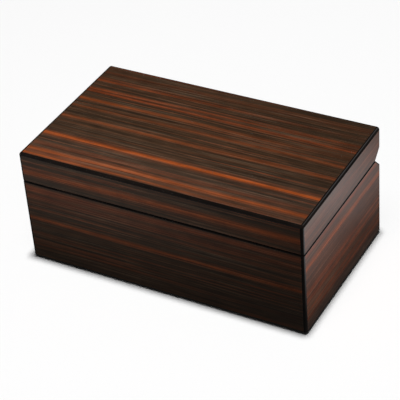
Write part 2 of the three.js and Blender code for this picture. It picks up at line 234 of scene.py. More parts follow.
# %% A tree that is laid out in code
class Graph:
    """A node tree that is laid out in code."""

    def __init__(self, tree):
        self.tree = tree
        self.tree.nodes.clear()

    def add(self, kind, settings=None, inputs=None):
        """A node of a kind. Its settings are made first, then its sockets get values or links."""
        node = self.tree.nodes.new(kind)
        for name, value in (settings or {}).items():
            setattr(node, name, value)
        for name, value in (inputs or {}).items():
            self.feed(self.socket(node.inputs, name), value)
        return Made(self, node)

    def socket(self, sockets, name):
        """The socket with an index, an identifier or a shown name."""
        if isinstance(name, int):
            return sockets[name]
        exact = [socket for socket in sockets if socket.identifier == name]
        shown = [socket for socket in sockets if socket.name == name and socket.enabled]
        return (exact + shown)[0]

    def feed(self, socket, value):
        """Links a signal, or each of a list of signals, or sets a plain value."""
        for single in value if isinstance(value, list) else [value]:
            if isinstance(single, Signal):
                self.tree.links.new(single.socket, socket)
            else:
                socket.default_value = single

    def maths(self, operation, *operands):
        """A Math node on signals and numbers, in order."""
        settings = {"operation": operation}
        return self.add("ShaderNodeMath", settings, dict(enumerate(operands)))["Value"]

    def vector(self, x, y, z):
        return self.add("ShaderNodeCombineXYZ", None, {"X": x, "Y": y, "Z": z})["Vector"]

    def mix(self, share, first, second):
        """A colour between two colours."""
        return self.add(
            "ShaderNodeMix",
            {"data_type": "RGBA"},
            {"Factor_Float": share, "A_Color": first, "B_Color": second},
        )["Result_Color"]

    def scaled(self, color, factor):
        """A colour made lighter or darker by a factor."""
        return self.add(
            "ShaderNodeVectorMath", {"operation": "SCALE"}, {"Vector": color, "Scale": factor}
        )["Vector"]

    def noise(self, place, scale, detail=2, roughness=0.5, **extra):
        """Soft noise from 0 to 1 about a place."""
        return self.add(
            "ShaderNodeTexNoise",
            {"noise_dimensions": "3D"},
            {"Vector": place, "Scale": scale, "Detail": detail, "Roughness": roughness, **extra},
        )["Fac"]


class Made:
    """A node that was added. An output is asked for by its name."""

    def __init__(self, graph, node):
        self.graph = graph
        self.node = node

    def __getitem__(self, name):
        return Signal(self.graph, self.graph.socket(self.node.outputs, name))


# %% [markdown]
# Materials in general
#
# A finish is a Principled surface. What varies over the piece feeds its colour, roughness or
# normal, and what is the same everywhere is set on the socket itself. All patterns read Object
# coordinates in metres, so grain and nap have their real size on every piece.


# %% Start and close a material
SCREEN_WHITE = 255
SCREEN_TOE = 0.04045
SCREEN_TOE_SLOPE = 12.92
SCREEN_OFFSET = 0.055
SCREEN_POWER = 2.4


def linear(value):
    """The light that a screen value from 0 to 255 stands for, from 0 to 1."""
    share = value / SCREEN_WHITE
    if share <= SCREEN_TOE:
        return share / SCREEN_TOE_SLOPE
    return ((share + SCREEN_OFFSET) / (1 + SCREEN_OFFSET)) ** SCREEN_POWER


def pigment(red, green, blue):
    """An opaque colour, named by its screen values from 0 to 255."""
    return (linear(red), linear(green), linear(blue), 1)


def new_finish(name):
    """A new material with its tree, and the place on the piece along X, Y and Z."""
    material = bpy.data.materials.new(name)
    material.use_nodes = True
    graph = Graph(material.node_tree)
    place = graph.add("ShaderNodeTexCoord")["Object"]
    apart = graph.add("ShaderNodeSeparateXYZ", None, {"Vector": place})
    return material, graph, place, {axis: apart[axis] for axis in "XYZ"}


def wave(graph, place, length):
    """A sine wave from 0 to 1 along a place."""
    return graph.maths("SINE", place * (2 * math.pi / length)) * 0.5 + 0.5


def drawn_out(graph, axes, length, breadth, detail=2, roughness=0.5):
    """Noise that is drawn out along the first of three axes."""
    along, across, third = axes
    place = graph.vector(along / length, across / breadth, third / breadth)
    return graph.noise(place, 1, detail, roughness)


def bump(graph, height, distance):
    """A normal that tilts as if the surface rose by the distance where the height is 1."""
    inputs = {"Height": height, "Distance": distance, "Strength": 1}
    return graph.add("ShaderNodeBump", None, inputs)["Normal"]


def close_finish(material, graph, **inputs):
    """Ends the tree in a Principled surface. Spaces in socket names are written as underscores."""
    sockets = {name.replace("_", " "): value for name, value in inputs.items()}
    surface = graph.add("ShaderNodeBsdfPrincipled", None, sockets)
    graph.add("ShaderNodeOutputMaterial", None, {"Surface": surface["BSDF"]})
    print("finish", material.name, "with", len(graph.tree.nodes), "nodes")
    return material


def dress(piece, material):
    """Gives a piece, or a construction piece, one material."""
    piece.data.materials.clear()
    piece.data.materials.append(material)


# %% [markdown]
# Striped veneer
#
# The veneer is macassar ebony: near-black and brown bands with a few bright orange ones, all along
# the length, laid so that the same broad bands cross the whole panel. A noise alone gives bands
# anywhere, so the bright ones are set one by one: where each lies at one end of the sheet and at
# the other, how wide it is, how bright at either end. A stripe that is wide and weak is a veil over
# part of a sheet: a reddish one, a grey one that is painted sheen, or a dark one along the foot
# that is painted shade. Noise then adds what a veneer has in between, which is soft brown bands,
# fine streaks and threads, short gleams along the grain and dark pores. A sheet may also be
# darkened towards its ends or its foot, which is painted shade. The polished lacquer over it is a
# coat with its own smooth gloss, so the grain shows no relief.

# %% Tones and sizes of the grain
GROUND_DARK = pigment(32, 22, 14)
GROUND_BROWN = pigment(55, 38, 24)
STREAK_RED = pigment(86, 42, 22)
STRIPE_ORANGE = pigment(136, 61, 18)
STRIPE_RED = pigment(120, 47, 8)
THREAD_TAN = pigment(90, 76, 62)
# Painted sheen, laid over the grain as a wide grey veil.
PAINTED_SHEEN_GREY = pigment(86, 82, 80)
PORE = pigment(26, 18, 14)

WANDER_LENGTH = 170 * MM
WANDER_WIDTH = 60 * MM
WANDER_REACH = 1.6 * MM
BAND_LENGTH = 420 * MM
BAND_WIDTH = 13 * MM
STREAK_LENGTH = 260 * MM
STREAK_WIDTH = 2.0 * MM
THREAD_LENGTH = 130 * MM
THREAD_WIDTH = 0.9 * MM
PORE_LENGTH = 5 * MM
PORE_WIDTH = 0.28 * MM
GLEAM_LENGTH = 22 * MM
GLEAM_WIDTH = 7 * MM
BREAK_LENGTH = 80 * MM

BAND_SHARES = (0.35, 0.65)
GROUND_SHARES = (0.25, 0.75)
RED_SHARES = (0.5, 0.68)
RED_OUTSIDE_BANDS = 0.3
LINE_SHARES = (0.3, 0.7)
TAN_SHARES = (0.5, 0.8)
TAN_STRENGTH = 0.6
PORE_SHARES = (0.60, 0.74)
PORE_STRENGTH = 0.4
FINE_GRAIN = 0.6
STRIPE_FRAY = 0.8
STRIPE_BREAKS = (0.75, 0.5)
STRIPE_LINES = (0.6, 0.8)

GRAIN_LIGHT = 0.95
THREAD_CONTRAST = 1.4
GLEAM_CONTRAST = 1.05
END_FADE_POWER = 6
VENEER_ROUGHNESS = 0.42
STREAK_ROUGHNESS = 0.12
COAT_ROUGHNESS = 0.07
DULL_SPECULAR = 0.2


# %% The veneer's recipe
def grain(graph, along, across, number, length, breadth, detail=2, roughness=0.5):
    """Noise drawn out along the grain, different on each numbered sheet."""
    place = graph.vector(along / length, across / breadth, number)
    return graph.noise(place, 1, detail, roughness)


def striped_veneer(name, along_axis, across_axis, stripes, fades, number):
    """Veneer whose grain runs along one axis. A stripe is (place at the low end, place at the
    high end, width, strength at the low end, strength at the high end, colour), in mm. The fades
    are painted shade: the shares by which the grain is darkened at the low end, the high end and
    the foot."""
    material, graph, _, place = new_finish(name)
    along = place[along_axis]
    across = place[across_axis]
    reach = half_width if along_axis == "X" else half_depth
    fade_low, fade_high, fade_foot = fades

    sway = grain(graph, along, across, number, WANDER_LENGTH, WANDER_WIDTH)
    line = across + (sway - 0.5) * 2 * WANDER_REACH
    sheet = (graph, along, line, number)
    bands = grain(*sheet, BAND_LENGTH, BAND_WIDTH, detail=1).rise(*BAND_SHARES)
    streaks = grain(*sheet, STREAK_LENGTH, STREAK_WIDTH, detail=3, roughness=FINE_GRAIN)
    threads = grain(*sheet, THREAD_LENGTH, THREAD_WIDTH, detail=2, roughness=FINE_GRAIN)
    gleam = grain(*sheet, GLEAM_LENGTH, GLEAM_WIDTH, detail=3, roughness=FINE_GRAIN)
    pores = grain(*sheet, PORE_LENGTH, PORE_WIDTH, detail=1).rise(*PORE_SHARES)

    color = graph.mix(streaks.rise(*GROUND_SHARES), GROUND_DARK, GROUND_BROWN)
    red = streaks.rise(*RED_SHARES) * (RED_OUTSIDE_BANDS + (1 - RED_OUTSIDE_BANDS) * bands)
    color = graph.mix(red, color, STREAK_RED)
    share = (along + reach) / (2 * reach)
    least, more = STRIPE_BREAKS
    broken = least + more * grain(*sheet, BREAK_LENGTH, STREAK_WIDTH)
    least, more = STRIPE_LINES
    lines = least + more * threads.rise(*LINE_SHARES)
    for low_end, high_end, breadth, low_strength, high_strength, tone in stripes:
        centre = low_end * MM + (high_end * MM - low_end * MM) * share
        strength = low_strength + (high_strength - low_strength) * share
        core = line + (threads - 0.5) * STRIPE_FRAY * (breadth * MM)
        mask = (core - centre).bell(0, breadth * MM) * strength * broken * lines
        color = graph.mix(mask.clamped(), color, tone)
    color = graph.mix(threads.rise(*TAN_SHARES) * TAN_STRENGTH, color, THREAD_TAN)
    color = graph.mix(pores * PORE_STRENGTH, color, PORE)
    # Painted shade, darker towards the sheet's ends and the foot of the base.
    ends = fade_low * (1 - share) ** END_FADE_POWER + fade_high * share ** END_FADE_POWER
    foot = fade_foot * (1 - place["Z"] / base_top).clamped()
    light = GRAIN_LIGHT + THREAD_CONTRAST * (threads - 0.5) + GLEAM_CONTRAST * (gleam - 0.5)
    return close_finish(
        material,
        graph,
        Base_Color=graph.scaled(color, light * (1 - ends) * (1 - foot)),
        Roughness=VENEER_ROUGHNESS + STREAK_ROUGHNESS * streaks,
        Specular_IOR_Level=DULL_SPECULAR,
        Coat_Weight=1,
        Coat_Roughness=COAT_ROUGHNESS,
    )


# %% Stripes of each sheet
TOP_STRIPES = [
    # The first stripe is painted sheen, a wide grey veil over the front of the top.
    (-72.0, -68.0, 36.0, 0.06, 0.07, PAINTED_SHEEN_GREY),
    (73.5, 73.5, 2.4, 0.14, 0.12, STRIPE_RED),
    (58.3, 60.5, 2.0, 0.48, 0.06, STRIPE_RED),
    (41.8, 47.4, 1.6, 0.50, 0.26, STRIPE_RED),
    (38.0, 36.8, 1.9, 0.50, 0.42, STRIPE_RED),
    (22.6, 23.5, 2.2, 0.50, 0.05, STRIPE_ORANGE),
    (8.0, 10.8, 2.3, 0.18, 0.30, STRIPE_ORANGE),
    (-12.6, -10.2, 2.3, 0.30, 0.30, STRIPE_ORANGE),
    (-45.5, -43.8, 5.0, 0.18, 0.12, STRIPE_RED),
    (-45.5, -43.8, 2.3, 0.62, 0.92, STRIPE_ORANGE),
    (-65.0, -62.5, 2.6, 0.18, 0.15, STRIPE_RED),
    (-74.5, -72.4, 3.1, 0.44, 0.56, STRIPE_ORANGE),
    (-83.0, -81.5, 1.9, 0.60, 0.05, STRIPE_ORANGE),
]

LID_FRONT_STRIPES = [
    (107.5, 110.5, 3.4, 0.45, 0.50, STRIPE_ORANGE),
]

BASE_FRONT_STRIPES = [
    (87.5, 88.5, 3.0, 0.30, 0.34, STRIPE_RED),
    (78.0, 79.0, 3.4, 0.25, 0.12, STRIPE_RED),
    (70.0, 70.5, 1.6, 0.12, 0.12, STRIPE_RED),
    (51.5, 52.0, 2.0, 0.40, 0.46, STRIPE_ORANGE),
    (18.8, 19.0, 1.8, 0.14, 0.04, STRIPE_RED),
]

LID_SIDE_STRIPES = [
    (110.0, 110.0, 40.0, 0.22, 0.22, STRIPE_RED),
    (112.0, 111.0, 3.5, 0.22, 0.22, STRIPE_RED),
    (102.0, 103.0, 2.0, 0.12, 0.05, STRIPE_RED),
]

BASE_SIDE_STRIPES = [
    # The first stripe is painted shade, a wide dark veil along the foot.
    (5.0, 5.0, 16.0, 0.8, 0.8, PORE),
    (56.0, 56.0, 36.0, 0.20, 0.20, STRIPE_RED),
    (84.0, 84.0, 12.0, 0.15, 0.10, STRIPE_RED),
    (91.0, 90.6, 2.6, 0.90, 0.60, STRIPE_RED),
    (76.0, 75.0, 2.8, 1.05, 0.65, STRIPE_ORANGE),
    (46.0, 45.0, 2.8, 0.50, 0.22, STRIPE_RED),
    (37.5, 37.0, 2.4, 0.40, 0.35, STRIPE_RED),
    (25.0, 25.0, 1.8, 0.38, 0.22, STRIPE_RED),
    (18.0, 18.0, 2.4, 0.30, 0.20, STRIPE_RED),
]

BASE_REAR_STRIPES = [
    (70.0, 68.5, 2.4, 0.45, 0.60, STRIPE_ORANGE),
    (38.0, 41.0, 3.0, 0.60, 0.40, STRIPE_RED),
    (21.0, 20.0, 1.8, 0.25, 0.20, STRIPE_RED),
]

LID_REAR_STRIPES = [
    (117.0, 116.0, 2.0, 0.40, 0.55, STRIPE_ORANGE),
]

# %% Lay the veneers
SHEET_STEP = 10
NO_PAINTED_SHADE = (0, 0, 0)
PAINTED_SHADE_AT_FOOT = (0, 0, 0.4)
# Each sheet: grain axis, axis across, stripes, painted shade at the low end, high end and foot.
VENEERS = {
    "lid_top_veneer": ("X", "Y", TOP_STRIPES, (0.12, 0.22, 0)),
    "lid_front_veneer": ("X", "Z", LID_FRONT_STRIPES, (0.2, 0.15, 0)),
    "base_front_veneer": ("X", "Z", BASE_FRONT_STRIPES, PAINTED_SHADE_AT_FOOT),
    "lid_rear_veneer": ("X", "Z", LID_REAR_STRIPES, NO_PAINTED_SHADE),
    "base_rear_veneer": ("X", "Z", BASE_REAR_STRIPES, PAINTED_SHADE_AT_FOOT),
    "lid_right_veneer": ("Y", "Z", LID_SIDE_STRIPES, NO_PAINTED_SHADE),
    "base_right_veneer": ("Y", "Z", BASE_SIDE_STRIPES, NO_PAINTED_SHADE),
    "lid_left_veneer": ("Y", "Z", LID_SIDE_STRIPES, NO_PAINTED_SHADE),
    "base_left_veneer": ("Y", "Z", BASE_SIDE_STRIPES, NO_PAINTED_SHADE),
}
for number, (sheet, recipe) in enumerate(VENEERS.items()):
    material = striped_veneer("striped_" + sheet, *recipe, SHEET_STEP * number)
    dress(frame["nodes"][sheet], material)

# %% [markdown]
# Black lacquer
#
# The frame between the veneers is fibreboard under many coats of black lacquer, rubbed down and
# polished. It is almost a mirror, but not quite flat: under a lamp the lacquer shows a very faint
# orange peel, and handling leaves a soft haze, a little browner and duller, that the gloss shows.

# %% The lacquer's recipe
LACQUER_BLACK = pigment(10, 8, 7)
LACQUER_BROWN = pigment(17, 13, 11)
PEEL_SIZE = 2.2 * MM
PEEL_HEIGHT = 0.004 * MM
HAZE_SIZE = 24 * MM
BROWN_HAZE_SHARES = (0.35, 0.7)
DULL_HAZE_SHARES = (0.4, 0.75)
LACQUER_ROUGHNESS = 0.09
HAZE_ROUGHNESS = 0.07


def black_lacquer():
    material, graph, place, _ = new_finish("black_lacquer")
    peel = graph.noise(place, 1 / PEEL_SIZE, detail=1)
    haze = graph.noise(place, 1 / HAZE_SIZE, detail=3)
    return close_finish(
        material,
        graph,
        Base_Color=graph.mix(haze.rise(*BROWN_HAZE_SHARES), LACQUER_BLACK, LACQUER_BROWN),
        Roughness=LACQUER_ROUGHNESS + HAZE_ROUGHNESS * haze.rise(*DULL_HAZE_SHARES),
        Normal=bump(graph, peel, PEEL_HEIGHT),
    )


lacquer = black_lacquer()

# %% [markdown]
# The two shells
#
# Each half of the case is glued up from boards, then rounded and lacquered as one, so no joint
# shows. A box with a Bevel modifier could stand for it, but the edges have four different radii:
# the outer edges, the foot, the thin lips at the seam and the corner of the rear bevel. Instead
# the shell is a stack of level outlines, each a rectangle with round corners. Their corner radius
# shrinks as the outline draws in, which makes true rounded corners, and the rear side follows the
# bevel. The flat faces end exactly where the veneers begin, so these are then sunk by the
# veneer's thickness.

# %% Finish sizes of the shells
LID_BEVEL_ANGLE = math.radians(43)
BASE_BEVEL_ANGLE = math.radians(45)
LID_BEVEL_CORNER_RADIUS = 12 * MM
BASE_BEVEL_CORNER_RADIUS = 6 * MM
BEVEL_BORDER = 1.5 * MM
INNER_CORNER_RADIUS = 0.5 * MM
INNER_LIP_RADIUS = 0.6 * MM
POCKET_DEPTH = veneer_thickness + 0.05 * MM
ARC_STEPS = 8


# %% The rear side of a half, as a function of the height above or below the seam
class RearSide:
    """The bevel, its rounded corner and the upright rear face, by distance from the seam."""

    def __init__(self, angle, radius):
        self.angle = angle
        self.radius = radius
        corner = (half_depth - pivot.y) * math.tan(angle)
        reach = radius * math.tan((math.pi / 2 - angle) / 2)
        self.bevel_end = corner - reach * math.sin(angle)
        self.upright_start = corner + reach
        border_rise = BEVEL_BORDER / math.cos(angle)
        self.border_corner = (veneer_y - pivot.y) * math.tan(angle) + border_rise

    def y(self, away):
        """How far back the half reaches at a distance from the seam."""
        if away <= self.bevel_end:
            return pivot.y + away / math.tan(self.angle)
        if away >= self.upright_start:
            return half_depth
        below = self.upright_start - away
        return half_depth - self.radius + math.sqrt(self.radius**2 - below**2)

    def flat_y(self, away):
        """Where the veneer on the side of the half ends, which keeps a border along the bevel."""
        slope_y = pivot.y + away / math.tan(self.angle) - BEVEL_BORDER / math.sin(self.angle)
        return min(veneer_y, slope_y)

    def corner_radii(self, away):
        """The radii across and along of the outline's rear corners."""
        along = self.y(away) - self.flat_y(away)
        narrow = BEVEL_BORDER / math.sin(self.angle)
        share = min(1, max(0, (along - narrow) / (edge_radius - narrow)))
        return BEVEL_BORDER + (edge_radius - BEVEL_BORDER) * share, along

    def levels(self, lip_end, plain_end):
        """Distances from the seam at which the outline changes, in order."""
        turn = math.pi / 2 - self.angle
        arc = [
            self.upright_start - self.radius * math.sin(step / ARC_STEPS * turn)
            for step in range(ARC_STEPS + 1)
        ]
        return sorted(arc + [lip_end, self.border_corner, plain_end])


lid_rear = RearSide(LID_BEVEL_ANGLE, LID_BEVEL_CORNER_RADIUS)
base_rear = RearSide(BASE_BEVEL_ANGLE, BASE_BEVEL_CORNER_RADIUS)
print(f"lid rear face from z {(lid_bottom + lid_rear.upright_start) / MM:.2f} mm,",
      f"veneer from {low('lid_rear_veneer').z / MM:.2f} mm")
print(f"base rear face to z {(base_top - base_rear.upright_start) / MM:.2f} mm,",
      f"veneer to {high('base_rear_veneer').z / MM:.2f} mm")


# %% One outline
def outline(z, front_centre, front_radii, rear_centre, rear_radii):
    """The points of a rectangle with round corners, counter-clockwise seen from above."""
    corners = [
        (1, 1, rear_centre, rear_radii, 0),
        (-1, 1, rear_centre, rear_radii, 1),
        (-1, -1, front_centre, front_radii, 2),
        (1, -1, front_centre, front_radii, 3),
    ]
    points = []
    for side_x, side_y, centre, radii, quarter in corners:
        for step in range(ARC_STEPS + 1):
            angle = (quarter + step / ARC_STEPS) * math.pi / 2
            points.append(Vector((
                side_x * centre[0] + radii[0] * math.cos(angle),
                side_y * centre[1] + radii[1] * math.sin(angle),
                z,
            )))
    return points


def inner_outline(z, grow):
    """The outline of the inside of a half, larger by a small length at its lip."""
    centre = (inside_x - INNER_CORNER_RADIUS, inside_y - INNER_CORNER_RADIUS)
    radius = INNER_CORNER_RADIUS + grow
    return outline(z, centre, (radius, radius), centre, (radius, radius))


# %% The stack of outlines of one half
def outer_outline(rear, z, distance, draw_in):
    """The outside of a half at a distance from the seam, drawn in by a length."""
    front = max(0, edge_radius - draw_in)
    limit_x = half_width - draw_in
    limit_y = half_depth - draw_in
    front_centre = (limit_x - front, limit_y - front)
    if distance > rear.upright_start:
        return outline(z, front_centre, (front, front), front_centre, (front, front))
    across, along = rear.corner_radii(distance)
    across -= draw_in
    rear_centre = (limit_x - across, rear.flat_y(distance))
    return outline(z, front_centre, (front, front), rear_centre, (across, along))


def outer_outlines(rear, seam_z, away, end_z, end_radius):
    """Outlines from the seam to the far end. away is 1 for the lid, whose far end is its top, and
    -1 for the base."""
    height = abs(end_z - seam_z)
    angles = [step / ARC_STEPS * math.pi / 2 for step in range(ARC_STEPS + 1)]
    lip = [
        (lip_radius * (1 - math.cos(angle)), lip_radius * (1 - math.sin(angle)))
        for angle in angles[:-1]
    ]
    side = [(distance, 0) for distance in rear.levels(lip_radius, height - end_radius)]
    end = [
        (height - end_radius * (1 - math.sin(angle)), end_radius * (1 - math.cos(angle)))
        for angle in angles[1:]
    ]
    return [
        outer_outline(rear, seam_z + away * distance, distance, draw_in)
        for distance, draw_in in lip + side + end
    ]


def inner_outlines(seam_z, away, end_z):
    """Outlines of the cavity from the seam to its far end."""
    rings = []
    for step in range(ARC_STEPS // 2 + 1):
        angle = step / (ARC_STEPS // 2) * math.pi / 2
        sink = INNER_LIP_RADIUS * (1 - math.cos(angle))
        grow = INNER_LIP_RADIUS * (1 - math.sin(angle))
        rings.append(inner_outline(seam_z + away * sink, grow))
    rings.append(inner_outline(end_z, 0))
    return rings


# %% Skin the outlines and sink the flats
FLAT_TOLERANCE = 0.001 * MM
MERGE_REACH = 0.002 * MM


def keep(mesh, name):
    """The edited mesh as a piece of the scene."""
    data = bpy.data.meshes.new(name)
    mesh.to_mesh(data)
    mesh.free()
    piece = bpy.data.objects.new(name, data)
    scene.collection.objects.link(piece)
    return piece


def sink_flat(mesh, axis, side, limit, depth):
    """Pushes the flat region of one outer face inwards, leaving upright walls round it."""
    index = "XYZ".index(axis)
    flat = [
        face for face in mesh.faces
        if all(abs(side * vertex.co[index] - limit) < FLAT_TOLERANCE for vertex in face.verts)
    ]
    made = bmesh.ops.extrude_face_region(mesh, geom=flat)
    sunk = [part for part in made["geom"] if isinstance(part, bmesh.types.BMVert)]
    move = Vector((0, 0, 0))
    move[index] = -side * depth
    bmesh.ops.translate(mesh, verts=sunk, vec=move)
    left = [face for face in flat if face.is_valid]
    bmesh.ops.delete(mesh, geom=left, context="FACES")
    return len(flat)


def closed_shell(name, outer, inner, faces_to_sink):
    """A closed shell from its outer outlines, seam to far end, and its inner ones."""
    mesh = bmesh.new()
    rings = list(reversed(inner)) + outer
    rows = [[mesh.verts.new(point) for point in ring] for ring in rings]
    count = len(rows[0])
    for lower, upper in zip(rows, rows[1:]):
        for index in range(count):
            following = (index + 1) % count
            mesh.faces.new((lower[index], lower[following], upper[following], upper[index]))
    mesh.faces.new(rows[0])
    mesh.faces.new(rows[-1])
    bmesh.ops.remove_doubles(mesh, verts=mesh.verts, dist=MERGE_REACH)
    bmesh.ops.dissolve_degenerate(mesh, edges=mesh.edges, dist=MERGE_REACH)
    bmesh.ops.recalc_face_normals(mesh, faces=mesh.faces)
    sunk = [sink_flat(mesh, *face, POCKET_DEPTH) for face in faces_to_sink]
    open_edges = [edge for edge in mesh.edges if len(edge.link_faces) != 2]
    print(name, len(mesh.faces), "faces,", sunk, "sunk,", len(open_edges), "open edges,",
          f"volume {mesh.calc_volume(signed=True) / MM**3:.0f} mm3")
    return keep(mesh, name)


# %% Cutting tools
GROOVE_SIDES = 48


def block_between(name, low_corner, high_corner):
    """A block between two corners, as a cutting tool."""
    mesh = bmesh.new()
    bmesh.ops.create_cube(mesh, size=1)
    bmesh.ops.scale(mesh, vec=high_corner - low_corner, verts=mesh.verts)
    bmesh.ops.translate(mesh, vec=(low_corner + high_corner) / 2, verts=mesh.verts)
    return keep(mesh, name)


def bar_along_x(name, centre, radius, length):
    """A round bar along X, as a cutting tool."""
    mesh = bmesh.new()
    turned = Matrix.Translation(centre) @ Matrix.Rotation(math.pi / 2, 4, "Y")
    bmesh.ops.create_cone(
        mesh, cap_ends=True, segments=GROOVE_SIDES, radius1=radius, radius2=radius, depth=length,
        matrix=turned,
    )
    return keep(mesh, name)


def settle(piece):
    """Applies every modifier, so that the piece is one plain mesh."""
    graph = bpy.context.evaluated_depsgraph_get()
    baked = bpy.data.meshes.new_from_object(piece.evaluated_get(graph))
    piece.modifiers.clear()
    old = piece.data
    piece.data = baked
    baked.name = piece.name
    bpy.data.meshes.remove(old)


def cut(piece, tool):
    """Takes a cutting tool's shape away from a piece."""
    modifier = piece.modifiers.new("cut", "BOOLEAN")
    modifier.operation = "DIFFERENCE"
    modifier.solver = "EXACT"
    modifier.object = tool
    settle(piece)
    bpy.data.objects.remove(tool)


# %% Cut the beds of the hinges
HINGE_SIDES = ("left", "right")
HINGE_FIT = 0.3 * MM
LEAF_THICKNESS = 1.2 * MM
MORTISE_GAP = 0.1 * MM


def cut_hinge_beds(shell):
    """Cuts a bed for the leaves and a groove for the knuckles of both hinges into a half."""
    for side in HINGE_SIDES:
        base_low, base_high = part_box(f"hinge_{side}_base_leaf")
        pin_low, pin_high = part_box(f"hinge_{side}_pin")
        bed_front = inside_y - HINGE_FIT - LEAF_THICKNESS
        bed_back = base_low.y + LEAF_THICKNESS + MORTISE_GAP
        bed_top = high(f"hinge_{side}_lid_leaf").z + HINGE_FIT
        cut(shell, block_between(
            f"bed_{side}",
            Vector((base_low.x - HINGE_FIT, bed_front, base_low.z - HINGE_FIT)),
            Vector((base_high.x + HINGE_FIT, bed_back, bed_top)),
        ))
        cut(shell, bar_along_x(
            f"groove_{side}",
            Vector(((pin_low.x + pin_high.x) / 2, pivot.y, pivot.z)),
            base_high.y - pivot.y + HINGE_FIT,
            pin_high.x - pin_low.x + 2 * HINGE_FIT,
        ))


# %% Make the shells
SIDE_FLATS = [
    ("Y", -1, half_depth),
    ("Y", 1, half_depth),
    ("X", -1, half_width),
    ("X", 1, half_width),
]
SIDE_BOARDS = ["front_board", "rear_board", "left_board", "right_board"]
SHARP_DEGREES = 30


def shade_by_angle(piece, degrees=SHARP_DEGREES):
    """Smooth shading that breaks at real edges, weighted so that flats stay flat."""
    piece.data.shade_smooth()
    piece.data.set_sharp_from_angle(angle=math.radians(degrees))
    modifier = piece.modifiers.new("even normals", "WEIGHTED_NORMAL")
    modifier.keep_sharp = True


def make_shell(name, body, outer, inner, flats, boards):
    """One half of the case, with its flats sunk for the veneers and the hinge beds cut."""
    shell = closed_shell(name, outer, inner, flats)
    cut_hinge_beds(shell)
    shade_by_angle(shell)
    dress(shell, lacquer)
    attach(shell, body)
    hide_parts(*boards)


make_shell(
    "lid_shell",
    "lid",
    outer_outlines(lid_rear, lid_bottom, 1, case_top, edge_radius),
    inner_outlines(lid_bottom, 1, lid_ceiling),
    SIDE_FLATS + [("Z", 1, case_top)],
    ["lid_top_board"] + ["lid_" + board for board in SIDE_BOARDS],
)
make_shell(
    "base_shell",
    "case_base",
    outer_outlines(base_rear, base_top, -1, base_bottom, foot_radius),
    inner_outlines(base_top, -1, floor_top),
    SIDE_FLATS,
    ["base_floor_board"] + ["base_" + board for board in SIDE_BOARDS],
)

# %% [markdown]
# One shape many times
#
# Knuckles, screws, stitches and dividers are the same shape again and again, so Geometry Nodes make
# them. Copying objects by hand would do too, but a tree keeps the rule: it asks for the sizes by
# name, repeats the shape on points, makes the copies real and sets the material. What it makes is
# then kept as one plain mesh for each body, and the tree is taken off again.


# %% A geometry tree and the plain mesh it makes
def piece_tree(name, size_names):
    """A geometry tree with one named input for each size: its graph, and the sizes by name."""
    tree = bpy.data.node_groups.new(name, "GeometryNodeTree")
    tree.interface.new_socket("Piece", in_out="OUTPUT", socket_type="NodeSocketGeometry")
    for size_name in size_names:
        tree.interface.new_socket(size_name, in_out="INPUT", socket_type="NodeSocketFloat")
    graph = Graph(tree)
    given = graph.add("NodeGroupInput")
    return graph, {size_name: given[size_name] for size_name in size_names}


def close_tree(graph, shape, material):
    """Ends the tree: copies made real, material set."""
    real = graph.add("GeometryNodeRealizeInstances", None, {"Geometry": shape})["Geometry"]
    clad = graph.add("GeometryNodeSetMaterial", None, {"Geometry": real, "Material": material})
    graph.add("NodeGroupOutput", None, {"Piece": clad["Geometry"]})
    return graph.tree


def grow(name, tree, sizes):
    """The plain mesh that a tree makes from its sizes, given by name."""
    piece = keep(bmesh.new(), name)
    modifier = piece.modifiers.new("rule", "NODES")
    modifier.node_group = tree
    for item in tree.interface.items_tree:
        if item.in_out == "INPUT":
            modifier[item.identifier] = float(sizes[item.name])
    settle(piece)
    print(name, "has", len(piece.data.polygons), "faces")
    return piece


# %% Small words for geometry trees
QUARTER_TURN = math.pi / 2
ALONG_X = (0, QUARTER_TURN, 0)
TO_THE_REAR = (-QUARTER_TURN, 0, 0)
UNTURNED = (0, 0, 0)
BAR_SIDES = 40


def moved(graph, shape, place, turn=UNTURNED):
    inputs = {"Geometry": shape, "Translation": place, "Rotation": turn}
    return graph.add("GeometryNodeTransform", None, inputs)["Geometry"]


def block(graph, centre, size):
    cube = graph.add("GeometryNodeMeshCube", None, {"Size": size})
    return moved(graph, cube["Mesh"], centre)


def round_bar(graph, radius, length, turn):
    inputs = {"Vertices": BAR_SIDES, "Radius": radius, "Depth": length}
    bar = graph.add("GeometryNodeMeshCylinder", None, inputs)
    return moved(graph, bar["Mesh"], UNTURNED, turn)


def row(graph, count, start, step):
    """Points in a row along X."""
    start = graph.vector(start, 0, 0)
    inputs = {"Count": count, "Start Location": start, "Offset": graph.vector(step, 0, 0)}
    return graph.add("GeometryNodeMeshLine", {"mode": "OFFSET"}, inputs)["Mesh"]


def repeated(graph, shape, points, turn=UNTURNED):
    """A copy of the shape on each point."""
    inputs = {"Points": points, "Instance": shape, "Rotation": turn}
    copies = graph.add("GeometryNodeInstanceOnPoints", None, inputs)["Instances"]
    return graph.add("GeometryNodeRealizeInstances", None, {"Geometry": copies})["Geometry"]


def joined(graph, operation, inputs):
    settings = {"operation": operation, "solver": "EXACT"}
    return graph.add("GeometryNodeMeshBoolean", settings, inputs)["Mesh"]


def united(graph, shapes):
    return joined(graph, "UNION", {"Mesh 2": shapes})


def taken_away(graph, shape, tool):
    return joined(graph, "DIFFERENCE", {"Mesh 1": shape, "Mesh 2": tool})


# %% [markdown]
# Brass
#
# The hinges are sawn and milled from brass and then rubbed down: warm yellow, a little browner in
# the recesses where the polish never reaches, with hairline scratches along the leaf. Metal shows
# mostly by what it mirrors, so the pattern goes into the roughness as much as into the colour.

